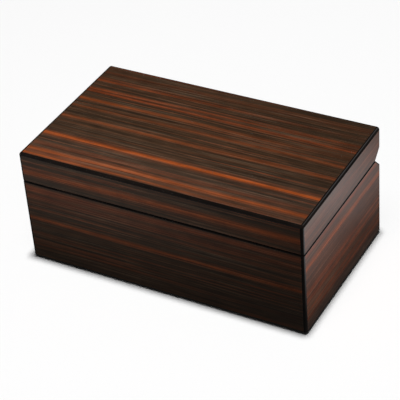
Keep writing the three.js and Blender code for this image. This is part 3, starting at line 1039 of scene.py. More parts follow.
# %% The brass's recipe
BRASS_BRIGHT = pigment(228, 190, 118)
BRASS_DULL = pigment(160, 118, 62)
SCRATCH_LENGTH = 9 * MM
SCRATCH_WIDTH = 0.16 * MM
TARNISH_SIZE = 5 * MM
SCRATCH_DEPTH = 0.01 * MM
TARNISH_SHARES = (0.45, 0.75)
TARNISH_STRENGTH = 0.7
SCRATCH_LIGHT = (0.9, 0.2)
BRASS_ROUGHNESS = 0.22
TARNISH_ROUGHNESS = 0.18
SCRATCH_ROUGHNESS = 0.12


def rubbed_brass():
    material, graph, place, axes = new_finish("rubbed_brass")
    scratches = drawn_out(graph, axes.values(), SCRATCH_LENGTH, SCRATCH_WIDTH)
    patches = graph.noise(place, 1 / TARNISH_SIZE, detail=4, roughness=FINE_GRAIN)
    tarnish = patches.rise(*TARNISH_SHARES)
    worn = graph.mix(tarnish * TARNISH_STRENGTH, BRASS_BRIGHT, BRASS_DULL)
    least, more = SCRATCH_LIGHT
    return close_finish(
        material,
        graph,
        Base_Color=graph.scaled(worn, least + more * scratches),
        Metallic=1,
        Roughness=BRASS_ROUGHNESS + TARNISH_ROUGHNESS * tarnish + SCRATCH_ROUGHNESS * scratches,
        Normal=bump(graph, scratches, SCRATCH_DEPTH),
    )


brass = rubbed_brass()

# %% [markdown]
# Butt hinges
#
# A hinge is two leaves that share one row of knuckles on a pin: the base leaf has knuckles one,
# three and five, the lid leaf two and four. Each leaf is milled away where the other one's knuckles
# turn. The tree does the same in order: plate, own knuckles, then the room for the others, the bore
# and the countersinks are taken away. One tree serves both bodies, with other numbers.

# %% The leaf's tree
LEAF_SIZES = [
    "Hinge Offset", "Leaf Width", "Leaf Reach", "Leaf Thickness", "Knuckle Radius",
    "Knuckle Length", "Knuckle Gap", "First Knuckle", "Own Knuckles", "Other Knuckles",
    "Bore Radius", "Screw Spread", "Screw Reach", "Head Radius", "Head Height", "Shank Radius",
    "Fit", "Axis Depth", "Axis Height",
]
OVERRUN = 2


def leaf_tree():
    graph, size = piece_tree("hinge_leaves", LEAF_SIZES)
    pitch = size["Knuckle Length"] + size["Knuckle Gap"]
    first_centre = size["Knuckle Length"] / 2 - size["Leaf Width"] / 2
    plate_depth = size["Leaf Thickness"] / 2 - size["Knuckle Radius"]
    plate = block(
        graph,
        graph.vector(0, plate_depth, size["Leaf Reach"] / 2),
        graph.vector(size["Leaf Width"], size["Leaf Thickness"], abs(size["Leaf Reach"])),
    )
    knuckle = round_bar(graph, size["Knuckle Radius"], size["Knuckle Length"], ALONG_X)
    own_start = first_centre + size["First Knuckle"] * pitch
    own = repeated(graph, knuckle, row(graph, size["Own Knuckles"], own_start, 2 * pitch))

    room = round_bar(
        graph,
        size["Knuckle Radius"] + size["Fit"],
        size["Knuckle Length"] + 2 * size["Knuckle Gap"],
        ALONG_X,
    )
    other_start = first_centre + (1 - size["First Knuckle"]) * pitch
    others = repeated(graph, room, row(graph, size["Other Knuckles"], other_start, 2 * pitch))

    bore = round_bar(graph, size["Bore Radius"], size["Leaf Width"] * OVERRUN, ALONG_X)
    slope = (size["Head Radius"] - size["Shank Radius"]) / size["Head Height"]
    wide = size["Head Radius"] + size["Fit"] + size["Head Height"] * slope
    sink = graph.add("GeometryNodeMeshCone", None, {
        "Vertices": BAR_SIDES,
        "Radius Bottom": wide,
        "Radius Top": size["Shank Radius"] + size["Fit"],
        "Depth": size["Head Height"] * 2,
    })["Mesh"]
    sink = moved(graph, sink, graph.vector(0, -size["Head Height"], 0), TO_THE_REAR)
    shank_radius = size["Shank Radius"] + size["Fit"]
    shank_length = size["Leaf Thickness"] * (2 * OVERRUN)
    shank = round_bar(graph, shank_radius, shank_length, TO_THE_REAR)
    hole = moved(
        graph,
        united(graph, [sink, shank]),
        graph.vector(0, -size["Knuckle Radius"], size["Screw Reach"]),
    )
    holes = repeated(graph, hole, row(graph, 2, -size["Screw Spread"] / 2, size["Screw Spread"]))

    leaf = taken_away(graph, united(graph, [plate, own]), [others])
    leaf = taken_away(graph, leaf, [bore])
    leaf = taken_away(graph, leaf, [holes])
    leaves = repeated(graph, leaf, row(graph, 2, -size["Hinge Offset"], 2 * size["Hinge Offset"]))
    placed = moved(graph, leaves, graph.vector(0, size["Axis Depth"], size["Axis Height"]))
    return close_tree(graph, placed, brass)


# %% Make the leaves
KNUCKLE_COUNT = 5
KNUCKLE_GAP = 0.3 * MM
PIN_RADIUS = 0.9 * MM
SCREW_SPREAD = 20 * MM
SCREW_REACH = 8.5 * MM
SCREW_HEAD_HEIGHT = 0.9 * MM
SCREW_SHANK_RADIUS = 1 * MM
LEAF_EDGE = 0.12 * MM
EDGE_STEPS = 2


def round_edges(piece, width, steps, degrees=SHARP_DEGREES):
    """A live Bevel on every edge that is sharper than an angle."""
    edges = piece.modifiers.new("round edges", "BEVEL")
    edges.width = width
    edges.segments = steps
    edges.limit_method = "ANGLE"
    edges.angle_limit = math.radians(degrees)
    return edges


leaf_low, leaf_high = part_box("hinge_right_base_leaf")
leaf_width = leaf_high.x - leaf_low.x
leaf_reach = pivot.z - leaf_low.z
knuckle_radius = leaf_high.y - pivot.y
knuckle_length = (leaf_width - (KNUCKLE_COUNT - 1) * KNUCKLE_GAP) / KNUCKLE_COUNT
hinge_offset = (leaf_high.x + leaf_low.x) / 2
screw_low, screw_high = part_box("hinge_right_base_screw_1")
screw_head_radius = (screw_high.x - screw_low.x) / 2
screw_length = screw_high.y - screw_low.y

hinge_sizes = {
    "Hinge Offset": hinge_offset,
    "Leaf Width": leaf_width,
    "Leaf Thickness": LEAF_THICKNESS,
    "Knuckle Radius": knuckle_radius,
    "Knuckle Length": knuckle_length,
    "Knuckle Gap": KNUCKLE_GAP,
    "Bore Radius": PIN_RADIUS + HINGE_FIT,
    "Screw Spread": SCREW_SPREAD,
    "Head Radius": screw_head_radius,
    "Head Height": SCREW_HEAD_HEIGHT,
    "Shank Radius": SCREW_SHANK_RADIUS,
    "Fit": HINGE_FIT,
    "Axis Depth": pivot.y,
    "Axis Height": pivot.z,
}
LEAVES = {
    "hinge_base_leaves": ("case_base", "base_leaf", -1, 0, 3, 2),
    "hinge_lid_leaves": ("lid", "lid_leaf", 1, 1, 2, 3),
}
leaf_rule = leaf_tree()
for name, (body, node_end, way, first, own_count, other_count) in LEAVES.items():
    leaves = grow(name, leaf_rule, {
        **hinge_sizes,
        "Leaf Reach": way * leaf_reach,
        "Screw Reach": way * SCREW_REACH,
        "First Knuckle": first,
        "Own Knuckles": own_count,
        "Other Knuckles": other_count,
    })
    round_edges(leaves, LEAF_EDGE, EDGE_STEPS).harden_normals = True
    shade_by_angle(leaves)
    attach(leaves, body)
    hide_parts(*[f"hinge_{side}_{node_end}" for side in HINGE_SIDES])

# %% [markdown]
# Screws and pins
#
# The screws are slotted and countersunk, and nobody lines the slots up, so each one is turned by
# its own chance angle from a fixed seed. A screw is one cylinder of many rings: the rings near the
# head are let out to the cone and the last ones drawn in to the point. The pins are turned bars
# with a domed head at either end, made ring by ring from a short profile.

# %% The screw's tree
SCREW_SIZES = [
    "Hinge Offset", "Screw Spread", "Head Radius", "Head Height", "Shank Radius", "Length",
    "Tip Length", "Blunt Tip", "Slot Width", "Slot Depth", "Face Depth", "Face Height",
]
SCREW_SEED = 7
SCREW_SIDES = 28
SCREW_RINGS = 35
SLOT_OVERRUN = 3


def screw_tree():
    graph, size = piece_tree("slotted_screws", SCREW_SIZES)
    rings = graph.add("GeometryNodeMeshCylinder", None, {
        "Vertices": SCREW_SIDES,
        "Side Segments": SCREW_RINGS,
        "Radius": 1,
        "Depth": size["Length"],
    })["Mesh"]
    rings = moved(graph, rings, graph.vector(0, 0, size["Length"] / 2))
    position = graph.add("GeometryNodeInputPosition")["Position"]
    place = graph.add("ShaderNodeSeparateXYZ", None, {"Vector": position})
    depth = place["Z"]
    slope = (size["Head Radius"] - size["Shank Radius"]) / size["Head Height"]
    radius = graph.maths("MAXIMUM", size["Head Radius"] - depth * slope, size["Shank Radius"])
    point = size["Blunt Tip"] + (size["Length"] - depth) * size["Shank Radius"] / size["Tip Length"]
    radius = graph.maths("MINIMUM", radius, point)
    turned = graph.add("GeometryNodeSetPosition", None, {
        "Geometry": rings,
        "Position": graph.vector(place["X"] * radius, place["Y"] * radius, depth),
    })["Geometry"]
    slot = block(graph, UNTURNED, graph.vector(
        size["Head Radius"] * SLOT_OVERRUN,
        size["Slot Width"],
        size["Slot Depth"] * 2,
    ))
    screw = taken_away(graph, turned, [slot])
    limits = {"Min_001": 0, "Max_001": math.pi, "Seed": SCREW_SEED}
    chance = graph.add("FunctionNodeRandomValue", {"data_type": "FLOAT"}, limits)["Value_001"]
    pair = row(graph, 2, -size["Screw Spread"] / 2, size["Screw Spread"])
    places = repeated(graph, pair, row(graph, 2, -size["Hinge Offset"], 2 * size["Hinge Offset"]))
    screws = repeated(graph, screw, places, graph.vector(0, 0, chance))
    face = graph.vector(0, size["Face Depth"], size["Face Height"])
    return close_tree(graph, moved(graph, screws, face, TO_THE_REAR), brass)


# %% Drive the screws
SCREW_TIP_LENGTH = 1.5 * MM
BLUNT_TIP = 0.08 * MM
SLOT_WIDTH = 0.5 * MM
SLOT_DEPTH = 0.4 * MM
SCREW_SETS = {
    "hinge_base_screws": ("case_base", "base_screw", -1),
    "hinge_lid_screws": ("lid", "lid_screw", 1),
}
screw_rule = screw_tree()
for name, (body, node_end, way) in SCREW_SETS.items():
    screws = grow(name, screw_rule, {
        **hinge_sizes,
        "Length": screw_length,
        "Tip Length": SCREW_TIP_LENGTH,
        "Blunt Tip": BLUNT_TIP,
        "Slot Width": SLOT_WIDTH,
        "Slot Depth": SLOT_DEPTH,
        "Face Depth": screw_low.y,
        "Face Height": pivot.z + way * SCREW_REACH,
    })
    shade_by_angle(screws)
    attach(screws, body)
    nodes = [f"hinge_{side}_{node_end}_{index}" for side in HINGE_SIDES for index in (1, 2)]
    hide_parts(*nodes)


# %% Turn the pins
PIN_SIDES = 32
PIN_HEAD_RADIUS = 1.5 * MM
PIN_HEAD_LENGTH = 0.6 * MM
DOME_SHARE = 0.9


def lathe(mesh, centre, profile):
    """A closed turned shape along X, from (place along the axis, radius) pairs."""
    angles = [2 * math.pi * side / PIN_SIDES for side in range(PIN_SIDES)]
    rings = []
    for along, radius in profile:
        ring = [(along, radius * math.cos(angle), radius * math.sin(angle)) for angle in angles]
        if radius == 0:
            ring = [(along, 0, 0)]
        rings.append([mesh.verts.new(centre + Vector(point)) for point in ring])
    for first, second in zip(rings, rings[1:]):
        for side in range(PIN_SIDES):
            ahead = (side + 1) % PIN_SIDES
            if len(first) == 1:
                mesh.faces.new((first[0], second[side], second[ahead]))
            elif len(second) == 1:
                mesh.faces.new((first[ahead], first[side], second[0]))
            else:
                mesh.faces.new((first[ahead], first[side], second[side], second[ahead]))
    bmesh.ops.recalc_face_normals(mesh, faces=mesh.faces)


def domed_head(end, way):
    """The profile of a head from its tip to the bar."""
    profile = []
    for step in range(ARC_STEPS):
        turn = QUARTER_TURN * step / ARC_STEPS
        sink = PIN_HEAD_LENGTH * (1 - math.cos(turn)) * DOME_SHARE
        profile.append((end - way * sink, PIN_HEAD_RADIUS * math.sin(turn)))
    foot = end - way * PIN_HEAD_LENGTH
    return profile + [(foot, PIN_HEAD_RADIUS), (foot, PIN_RADIUS)]


pin_mesh = bmesh.new()
for side in HINGE_SIDES:
    pin_low, pin_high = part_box(f"hinge_{side}_pin")
    half_pin = (pin_high.x - pin_low.x) / 2
    centre = Vector(((pin_low.x + pin_high.x) / 2, pivot.y, pivot.z))
    lathe(pin_mesh, centre, domed_head(-half_pin, -1) + domed_head(half_pin, 1)[::-1])
pins = keep(pin_mesh, "hinge_pins")
shade_by_angle(pins)
dress(pins, brass)
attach(pins, "case_base")
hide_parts(*[f"hinge_{side}_pin" for side in HINGE_SIDES])
print("hinge pins have", len(pins.data.polygons), "faces")

# %% [markdown]
# Suede
#
# The lid, the tray and the lower compartment are lined with cream suede cloth over thin foam. Suede
# has no shine, but its nap lies one way in some places and the other way in others, which shows as
# soft lighter and darker strokes. Close up it is a felt of short fibres, drawn here as a fine noise
# that also lifts the surface by a few hundredths of a millimetre.

# %% The suede's recipe
SUEDE_LIGHT = pigment(202, 187, 158)
SUEDE_BRUSHED = pigment(178, 160, 130)
SUEDE_FOLD = pigment(146, 126, 100)
STROKE_LENGTH = 42 * MM
STROKE_WIDTH = 14 * MM
FIBRE_SIZE = 0.5 * MM
FIBRE_HEIGHT = 0.05 * MM
STROKE_SHARES = (0.35, 0.65)
STROKE_FINENESS = 0.55
STROKE_STRENGTH = 0.55
STROKE_LIFT = 0.3
FIBRE_FINENESS = 0.7
FOLD_SHARES = (0.6, 0.8)
FOLD_STRENGTH = 0.3
SUEDE_ROUGHNESS = 0.9
STROKE_ROUGHNESS = 0.08
SUEDE_SHEEN = 0.35
SHEEN_ROUGHNESS = 0.6


def brushed_suede(name, axis_order):
    """Suede whose nap is stroked along the first axis of an order such as XYZ."""
    material, graph, place, by_name = new_finish(name)
    axes = [by_name[axis] for axis in axis_order]
    nap = drawn_out(
        graph, axes, STROKE_LENGTH, STROKE_WIDTH, detail=3, roughness=STROKE_FINENESS
    )
    strokes = nap.rise(*STROKE_SHARES)
    fibres = graph.noise(place, 1 / FIBRE_SIZE, detail=3, roughness=FIBRE_FINENESS)
    color = graph.mix(strokes * STROKE_STRENGTH, SUEDE_LIGHT, SUEDE_BRUSHED)
    color = graph.mix(fibres.rise(*FOLD_SHARES) * FOLD_STRENGTH, color, SUEDE_FOLD)
    return close_finish(
        material,
        graph,
        Base_Color=color,
        Roughness=SUEDE_ROUGHNESS + STROKE_ROUGHNESS * strokes,
        Specular_IOR_Level=DULL_SPECULAR,
        Sheen_Weight=SUEDE_SHEEN,
        Sheen_Roughness=SHEEN_ROUGHNESS,
        Normal=bump(graph, fibres + STROKE_LIFT * strokes, FIBRE_HEIGHT),
    )


suede_lengthwise = brushed_suede("suede_lengthwise", "XYZ")
suede_crosswise = brushed_suede("suede_crosswise", "YXZ")

# %% [markdown]
# Wood and lining of the fixed inner parts
#
# The tray is a frame of thin dark-stained boards, and the lower compartment is lined with boards
# that are wrapped in suede. Both are straight boards, so the construction pieces stay and only get
# softened edges. Their meshes are loose triangles: Weld joins them, and Bevel rounds the edges.

# %% Stained wood
WOOD_DARK = pigment(34, 19, 13)
WOOD_BROWN = pigment(58, 34, 22)
WOOD_PORE = pigment(16, 10, 8)
WOOD_FIGURE_LENGTH = 120 * MM
WOOD_FIGURE_WIDTH = 5 * MM
WOOD_PORE_LENGTH = 6 * MM
WOOD_PORE_WIDTH = 0.3 * MM
WOOD_PORE_DEPTH = 0.03 * MM
WOOD_BAND_SHARES = (0.3, 0.7)
WOOD_PORE_SHARES = (0.58, 0.72)
WOOD_PORE_STRENGTH = 0.7
WOOD_ROUGHNESS = 0.46
WOOD_BAND_ROUGHNESS = 0.14
WOOD_PORE_ROUGHNESS = 0.2


def stained_wood(name, axis_order):
    """Fine straight-grained wood under a satin stain. The grain runs along the first axis."""
    material, graph, _, by_name = new_finish(name)
    axes = [by_name[axis] for axis in axis_order]
    figure = drawn_out(graph, axes, WOOD_FIGURE_LENGTH, WOOD_FIGURE_WIDTH, detail=3)
    bands = figure.rise(*WOOD_BAND_SHARES)
    specks = drawn_out(graph, axes, WOOD_PORE_LENGTH, WOOD_PORE_WIDTH, detail=1)
    pores = specks.rise(*WOOD_PORE_SHARES)
    color = graph.mix(bands, WOOD_DARK, WOOD_BROWN)
    color = graph.mix(pores * WOOD_PORE_STRENGTH, color, WOOD_PORE)
    return close_finish(
        material,
        graph,
        Base_Color=color,
        Roughness=WOOD_ROUGHNESS + WOOD_BAND_ROUGHNESS * bands + WOOD_PORE_ROUGHNESS * pores,
        Normal=bump(graph, 1 - pores, WOOD_PORE_DEPTH),
    )


wood_along_x = stained_wood("tray_wood_lengthwise", "XYZ")
wood_along_y = stained_wood("tray_wood_crosswise", "YXZ")

# %% Soften the boards' edges
WELD_REACH = 0.001 * MM
TRAY_EDGE = 0.8 * MM
WRAPPED_EDGE = 1.2 * MM
BOARD_EDGE_STEPS = 3
TRAY_BOARDS = {
    "tray_floor": wood_along_x,
    "tray_front_wall": wood_along_x,
    "tray_rear_wall": wood_along_x,
    "tray_left_wall": wood_along_y,
    "tray_right_wall": wood_along_y,
}
LINER_BOARDS = {
    "base_liner_front": suede_lengthwise,
    "base_liner_rear": suede_lengthwise,
    "base_liner_left": suede_crosswise,
    "base_liner_right": suede_crosswise,
}


def soften_board(node, edge, material):
    """Rounds the edges of a construction board and gives it its material."""
    board = frame["nodes"][node]
    weld = board.modifiers.new("join triangles", "WELD")
    weld.merge_threshold = WELD_REACH
    round_edges(board, edge, BOARD_EDGE_STEPS).harden_normals = True
    dress(board, material)


for node, material in TRAY_BOARDS.items():
    soften_board(node, TRAY_EDGE, material)
for node, material in LINER_BOARDS.items():
    soften_board(node, WRAPPED_EDGE, material)
print(len(TRAY_BOARDS), "tray boards and", len(LINER_BOARDS), "liner boards softened")

# %% [markdown]
# Pads of the lid and the lower compartment
#
# Both pads are foam under suede, glued down at the back and turned in round the edge, so they
# swell a little between their edges. Cloth does that: a thin rounded slab is remeshed evenly, its
# glued side is pinned, and pressure fills it for twenty frames. How far a point may move is
# capped. The floor's pad is thinner than the squares of its mesh, so it is meshed thicker first
# and pressed flat, and its two faces stay apart. A row of stitches holds the foam near the edge,
# so a channel is pressed in there after the cloth has settled.

# %% A slab with rounded corners
PAD_CORNER = 4 * MM
PAD_VOXEL = 4 * MM
MESHED_THICKNESS = 1.2 * PAD_VOXEL
PAD_CORNER_STEPS = 4
ROUND_PROFILE = 0.5


def slab(name, low_corner, high_corner):
    """An evenly meshed slab with rounded corners, a thin one meshed thicker and pressed flat."""
    size = high_corner - low_corner
    centre = (low_corner + high_corner) / 2
    raised = max(1, MESHED_THICKNESS / size.z)
    mesh = bmesh.new()
    bmesh.ops.create_cube(mesh, size=1)
    bmesh.ops.scale(mesh, vec=(size.x, size.y, size.z * raised), verts=mesh.verts)
    bmesh.ops.translate(mesh, vec=centre, verts=mesh.verts)
    upright = [
        edge for edge in mesh.edges
        if abs(edge.verts[0].co.z - edge.verts[1].co.z) > MM
    ]
    bmesh.ops.bevel(
        mesh, geom=upright, offset=PAD_CORNER, segments=PAD_CORNER_STEPS, affect="EDGES",
        profile=ROUND_PROFILE,
    )
    piece = keep(mesh, name)
    even = piece.modifiers.new("even mesh", "REMESH")
    even.mode = "VOXEL"
    even.voxel_size = PAD_VOXEL
    settle(piece)
    heights = [vertex.co.z for vertex in piece.data.vertices]
    lowest = min(heights)
    meshed_thickness = max(heights) - lowest
    for vertex in piece.data.vertices:
        vertex.co.z = low_corner.z + size.z * (vertex.co.z - lowest) / meshed_thickness
    print(name, "has", len(piece.data.polygons), "faces before it is filled")
    return piece


# %% Fill a pad with cloth pressure
PAD_CAP = 2.2 * MM
PAD_PRESSURE = 4
PAD_FRAMES = 20
CLOTH_QUALITY = 6


def filled_places(piece, glued):
    """Where pressure moves the pad's points to, with the glued ones held."""
    group = piece.vertex_groups.new(name="glued")
    group.add(glued, 1, "REPLACE")
    cloth = piece.modifiers.new("fill", "CLOTH")
    cloth.settings.quality = CLOTH_QUALITY
    cloth.settings.use_pressure = True
    cloth.settings.uniform_pressure_force = PAD_PRESSURE
    cloth.settings.vertex_group_mass = group.name
    cloth.settings.effector_weights.gravity = 0
    cloth.point_cache.frame_start = 1
    cloth.point_cache.frame_end = PAD_FRAMES
    for frame_number in range(1, PAD_FRAMES + 1):
        scene.frame_set(frame_number)
    swollen = piece.evaluated_get(bpy.context.evaluated_depsgraph_get())
    places = [vertex.co.copy() for vertex in swollen.to_mesh().vertices]
    swollen.to_mesh_clear()
    piece.modifiers.remove(cloth)
    piece.vertex_groups.clear()
    scene.frame_set(1)
    return places


def fill_with_pressure(piece, glued, room_low, room_high):
    """Swells the free side of a pad, each point by no more than the cap and inside its room."""
    furthest = 0
    for vertex, after in zip(piece.data.vertices, filled_places(piece, glued)):
        move = after - vertex.co
        if move.length > PAD_CAP:
            move = move.normalized() * PAD_CAP
        place = vertex.co + move
        for axis in range(3):
            place[axis] = min(max(place[axis], room_low[axis]), room_high[axis])
        vertex.co = place
        furthest = max(furthest, move.length)
    print(piece.name, "swelled by up to", round(furthest / MM, 2), "mm")


# %% Press the stitched channel
CHANNEL_INSET = 11 * MM
CHANNEL_WIDTH = 2.6 * MM
CHANNEL_SHARE = 0.4


def press_channel(vertices, reach_x, reach_y, floor_z):
    """Draws points down to the channel's floor, the more the nearer they are to its line."""
    for vertex in vertices:
        aside = max(abs(vertex.co.x) - reach_x, abs(vertex.co.y) - reach_y)
        share = math.exp(-(aside / CHANNEL_WIDTH) ** 2)
        vertex.co.z += (floor_z - vertex.co.z) * share


# %% Sewing thread
THREAD_CREAM = pigment(206, 186, 150)
THREAD_SHADE = pigment(150, 128, 96)
PLY_LENGTH = 0.5 * MM
THREAD_ROUGHNESS = 0.7
PLY_SHINE = 0.15


def sewing_thread():
    material, graph, _, axes = new_finish("sewing_thread")
    plies = wave(graph, axes["X"] + axes["Y"] + axes["Z"], PLY_LENGTH)
    return close_finish(
        material,
        graph,
        Base_Color=graph.mix(plies, THREAD_SHADE, THREAD_CREAM),
        Roughness=THREAD_ROUGHNESS - PLY_SHINE * plies,
        Sheen_Weight=SUEDE_SHEEN,
    )


thread = sewing_thread()

# %% The stitches' tree
STITCH_SIZES = ["Length", "Depth", "Corner", "Height", "Stitch", "Pitch", "Thread"]
CORNER_POINTS = 6
BEAD_SEGMENTS = 8
BEAD_RINGS = 5


def stitch_tree():
    """Beads drawn out into stitches, at even steps along a rectangle with round corners."""
    graph, size = piece_tree("edge_stitches", STITCH_SIZES)
    rectangle = {"mode": "RECTANGLE"}
    sides = {"Width": size["Length"], "Height": size["Depth"]}
    line = graph.add("GeometryNodeCurvePrimitiveQuadrilateral", rectangle, sides)["Curve"]
    corners = {"Curve": line, "Count": CORNER_POINTS, "Radius": size["Corner"]}
    line = graph.add("GeometryNodeFilletCurve", None, corners)["Curve"]
    steps = {"Curve": line, "Length": size["Pitch"]}
    line = graph.add("GeometryNodeResampleCurve", {"mode": "LENGTH"}, steps)["Curve"]
    tangent = {"Vector": graph.add("GeometryNodeInputTangent")["Tangent"]}
    along = graph.add("FunctionNodeAlignRotationToVector", {"axis": "X"}, tangent)["Rotation"]
    ball = {"Segments": BEAD_SEGMENTS, "Rings": BEAD_RINGS, "Radius": 0.5}
    bead = graph.add("GeometryNodeMeshUVSphere", None, ball)["Mesh"]
    drawn_out = graph.vector(size["Stitch"], size["Thread"], size["Thread"])
    inputs = {"Geometry": bead, "Scale": drawn_out}
    stitch = graph.add("GeometryNodeTransform", None, inputs)["Geometry"]
    sewn = repeated(graph, stitch, line, along)
    return close_tree(graph, moved(graph, sewn, graph.vector(0, 0, size["Height"])), thread)


# %% Make the two pads
PAD_START_SHRINK = 1.2 * MM
GLUED_SHARE = 0.35
STITCH_LENGTH = 2.6 * MM
STITCH_PITCH = 3.6 * MM
SEWN_WIDTH = 0.6 * MM
PADS = {
    "lid_lining_pad": ("lid", "lid_pad", -1, "lid_stitches"),
    "compartment_pad": ("case_base", "base_floor_pad", 1, "compartment_stitches"),
}


def subdivide_once(piece):
    finer = piece.modifiers.new("finer", "SUBSURF")
    finer.levels = 1
    finer.render_levels = 1
    settle(piece)


stitch_rule = stitch_tree()
for name, (body, node, way, stitch_name) in PADS.items():
    room_low, room_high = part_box(node)
    glued_z, face_z = (room_low.z, room_high.z) if way > 0 else (room_high.z, room_low.z)
    thickness = room_high.z - room_low.z
    glued_reach = thickness * GLUED_SHARE
    shrink = Vector((PAD_START_SHRINK, PAD_START_SHRINK, 0))
    face_shrink = Vector((0, 0, PAD_START_SHRINK))
    slab_low = room_low + shrink
    slab_high = room_high - shrink
    if way > 0:
        slab_high -= face_shrink
    else:
        slab_low += face_shrink

    pad = slab(name, slab_low, slab_high)
    points = enumerate(pad.data.vertices)
    glued = [index for index, point in points if abs(point.co.z - glued_z) < glued_reach]
    fill_with_pressure(pad, glued, room_low, room_high)
    subdivide_once(pad)
    free = [point for point in pad.data.vertices if abs(point.co.z - glued_z) > glued_reach]
    channel_x = room_high.x - CHANNEL_INSET
    channel_y = room_high.y - CHANNEL_INSET
    channel_z = face_z - way * thickness * CHANNEL_SHARE
    press_channel(free, channel_x, channel_y, channel_z)
    pad.data.shade_smooth()
    dress(pad, suede_lengthwise)
    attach(pad, body)
    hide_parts(node)

    stitches = grow(stitch_name, stitch_rule, {
        "Length": 2 * channel_x,
        "Depth": 2 * channel_y,
        "Corner": PAD_CORNER,
        "Height": channel_z + way * SEWN_WIDTH / 2,
        "Stitch": STITCH_LENGTH,
        "Pitch": STITCH_PITCH,
        "Thread": SEWN_WIDTH,
    })
    stitches.data.shade_smooth()
    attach(stitches, body)

# %% [markdown]
# The tray's places for eight knives
#
# Seven padded bars part the tray into eight places. Each bar is foam with a rounded top, wrapped in
# suede, fuller at half height than where it is glued down. The rule is that of a square drawn out
# into a round: above the round's centre the sides are drawn in and the corners pulled down. Between
# the bars the thin pad on the floor is held down at every bar and puffs up a little in each place.

# %% The dividers' tree
DIVIDER_SIZES = [
    "Count", "First", "Pitch", "Width", "Length", "Height", "Foot", "Base Height", "Dent",
]
DENT_SIZE = 22 * MM
BAR_POINTS_ACROSS = 9
BAR_POINTS_ALONG = 70
BAR_POINTS_UP = 16


def divider_tree():
    """Blocks in a row, rounded at the top, drawn in at the foot and dented by a slow noise."""
    graph, size = piece_tree("tray_dividers", DIVIDER_SIZES)
    bar = graph.add("GeometryNodeMeshCube", None, {
        "Size": graph.vector(size["Width"], size["Length"], size["Height"]),
        "Vertices X": BAR_POINTS_ACROSS,
        "Vertices Y": BAR_POINTS_ALONG,
        "Vertices Z": BAR_POINTS_UP,
    })["Mesh"]
    bar = moved(graph, bar, graph.vector(0, 0, size["Height"] / 2))
    bars = repeated(graph, bar, row(graph, size["Count"], 0, size["Pitch"]))
    position = graph.add("GeometryNodeInputPosition")["Position"]
    place = graph.add("ShaderNodeSeparateXYZ", None, {"Vector": position})
    number = graph.maths("ROUND", place["X"] / size["Pitch"])
    centre = number * size["Pitch"]
    half = size["Width"] / 2
    aside = (place["X"] - centre) / half
    straight = size["Height"] - half
    above = ((place["Z"] - straight) / half).clamped()
    drawn_in = (1 - above * above / 2) ** 0.5
    pulled_down = (1 - aside * aside / 2) ** 0.5
    height = graph.maths("MINIMUM", place["Z"], straight) + above * half * pulled_down
    level = (place["Z"] / straight).clamped()
    foot = size["Foot"] * (1 - level.rise(0, 0.5))
    numbered = {0: position, 1: graph.vector(0, 0, number)}
    spot = graph.add("ShaderNodeVectorMath", {"operation": "ADD"}, numbered)["Vector"]
    dent = (graph.noise(spot, 1 / DENT_SIZE, detail=1) - 0.5) * size["Dent"]
    reach = (half - foot - size["Dent"] / 2) * drawn_in + dent
    shaped = graph.add("GeometryNodeSetPosition", None, {
        "Geometry": bars,
        "Position": graph.vector(centre + aside * reach, place["Y"], height),
    })["Geometry"]
    placed = moved(graph, shaped, graph.vector(size["First"], 0, size["Base Height"]))
    return close_tree(graph, placed, suede_crosswise)


# %% Make the dividers
DIVIDER_FOOT = 0.55 * MM
DIVIDER_DENT = 0.25 * MM
WRAPPED_DEGREES = 50
divider_nodes = sorted(node for node in frame["nodes"] if node.startswith("tray_divider_"))
divider_boxes = [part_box(node) for node in divider_nodes]
divider_centres = sorted((box[0].x + box[1].x) / 2 for box in divider_boxes)
divider_low, divider_high = divider_boxes[0]
divider_width = divider_high.x - divider_low.x
divider_pitch = divider_centres[1] - divider_centres[0]
dividers = grow("tray_divider_bars", divider_tree(), {
    "Count": len(divider_nodes),
    "First": divider_centres[0],
    "Pitch": divider_pitch,
    "Width": divider_width,
    "Length": divider_high.y - divider_low.y,
    "Height": divider_high.z - divider_low.z,
    "Foot": DIVIDER_FOOT,
    "Base Height": divider_low.z,
    "Dent": DIVIDER_DENT,
})
round_edges(dividers, DIVIDER_FOOT, EDGE_STEPS, WRAPPED_DEGREES)
dividers.data.shade_smooth()
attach(dividers, "tray")
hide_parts(*divider_nodes)


# %% Grids of points
def steps_between(start, end, count):
    """Places from the start to the end, in even steps."""
    return [start + (end - start) * step / count for step in range(count + 1)]


def skin(mesh, grid):
    """Lays faces between the rows of a grid of points."""
    for near, far in zip(grid, grid[1:]):
        for column in range(len(near) - 1):
            mesh.faces.new((near[column], near[column + 1], far[column + 1], far[column]))


# %% The puffed floor of the tray
PUFF = 0.9 * MM
PUFF_POWER = 3
FLOOR_STEP = 1.6 * MM


def puff_share(place, reach):
    """1 in the middle of a place and 0 at its edges, flat inside and steep near the edge."""
    return 1 - min(1, abs(place) / reach) ** PUFF_POWER


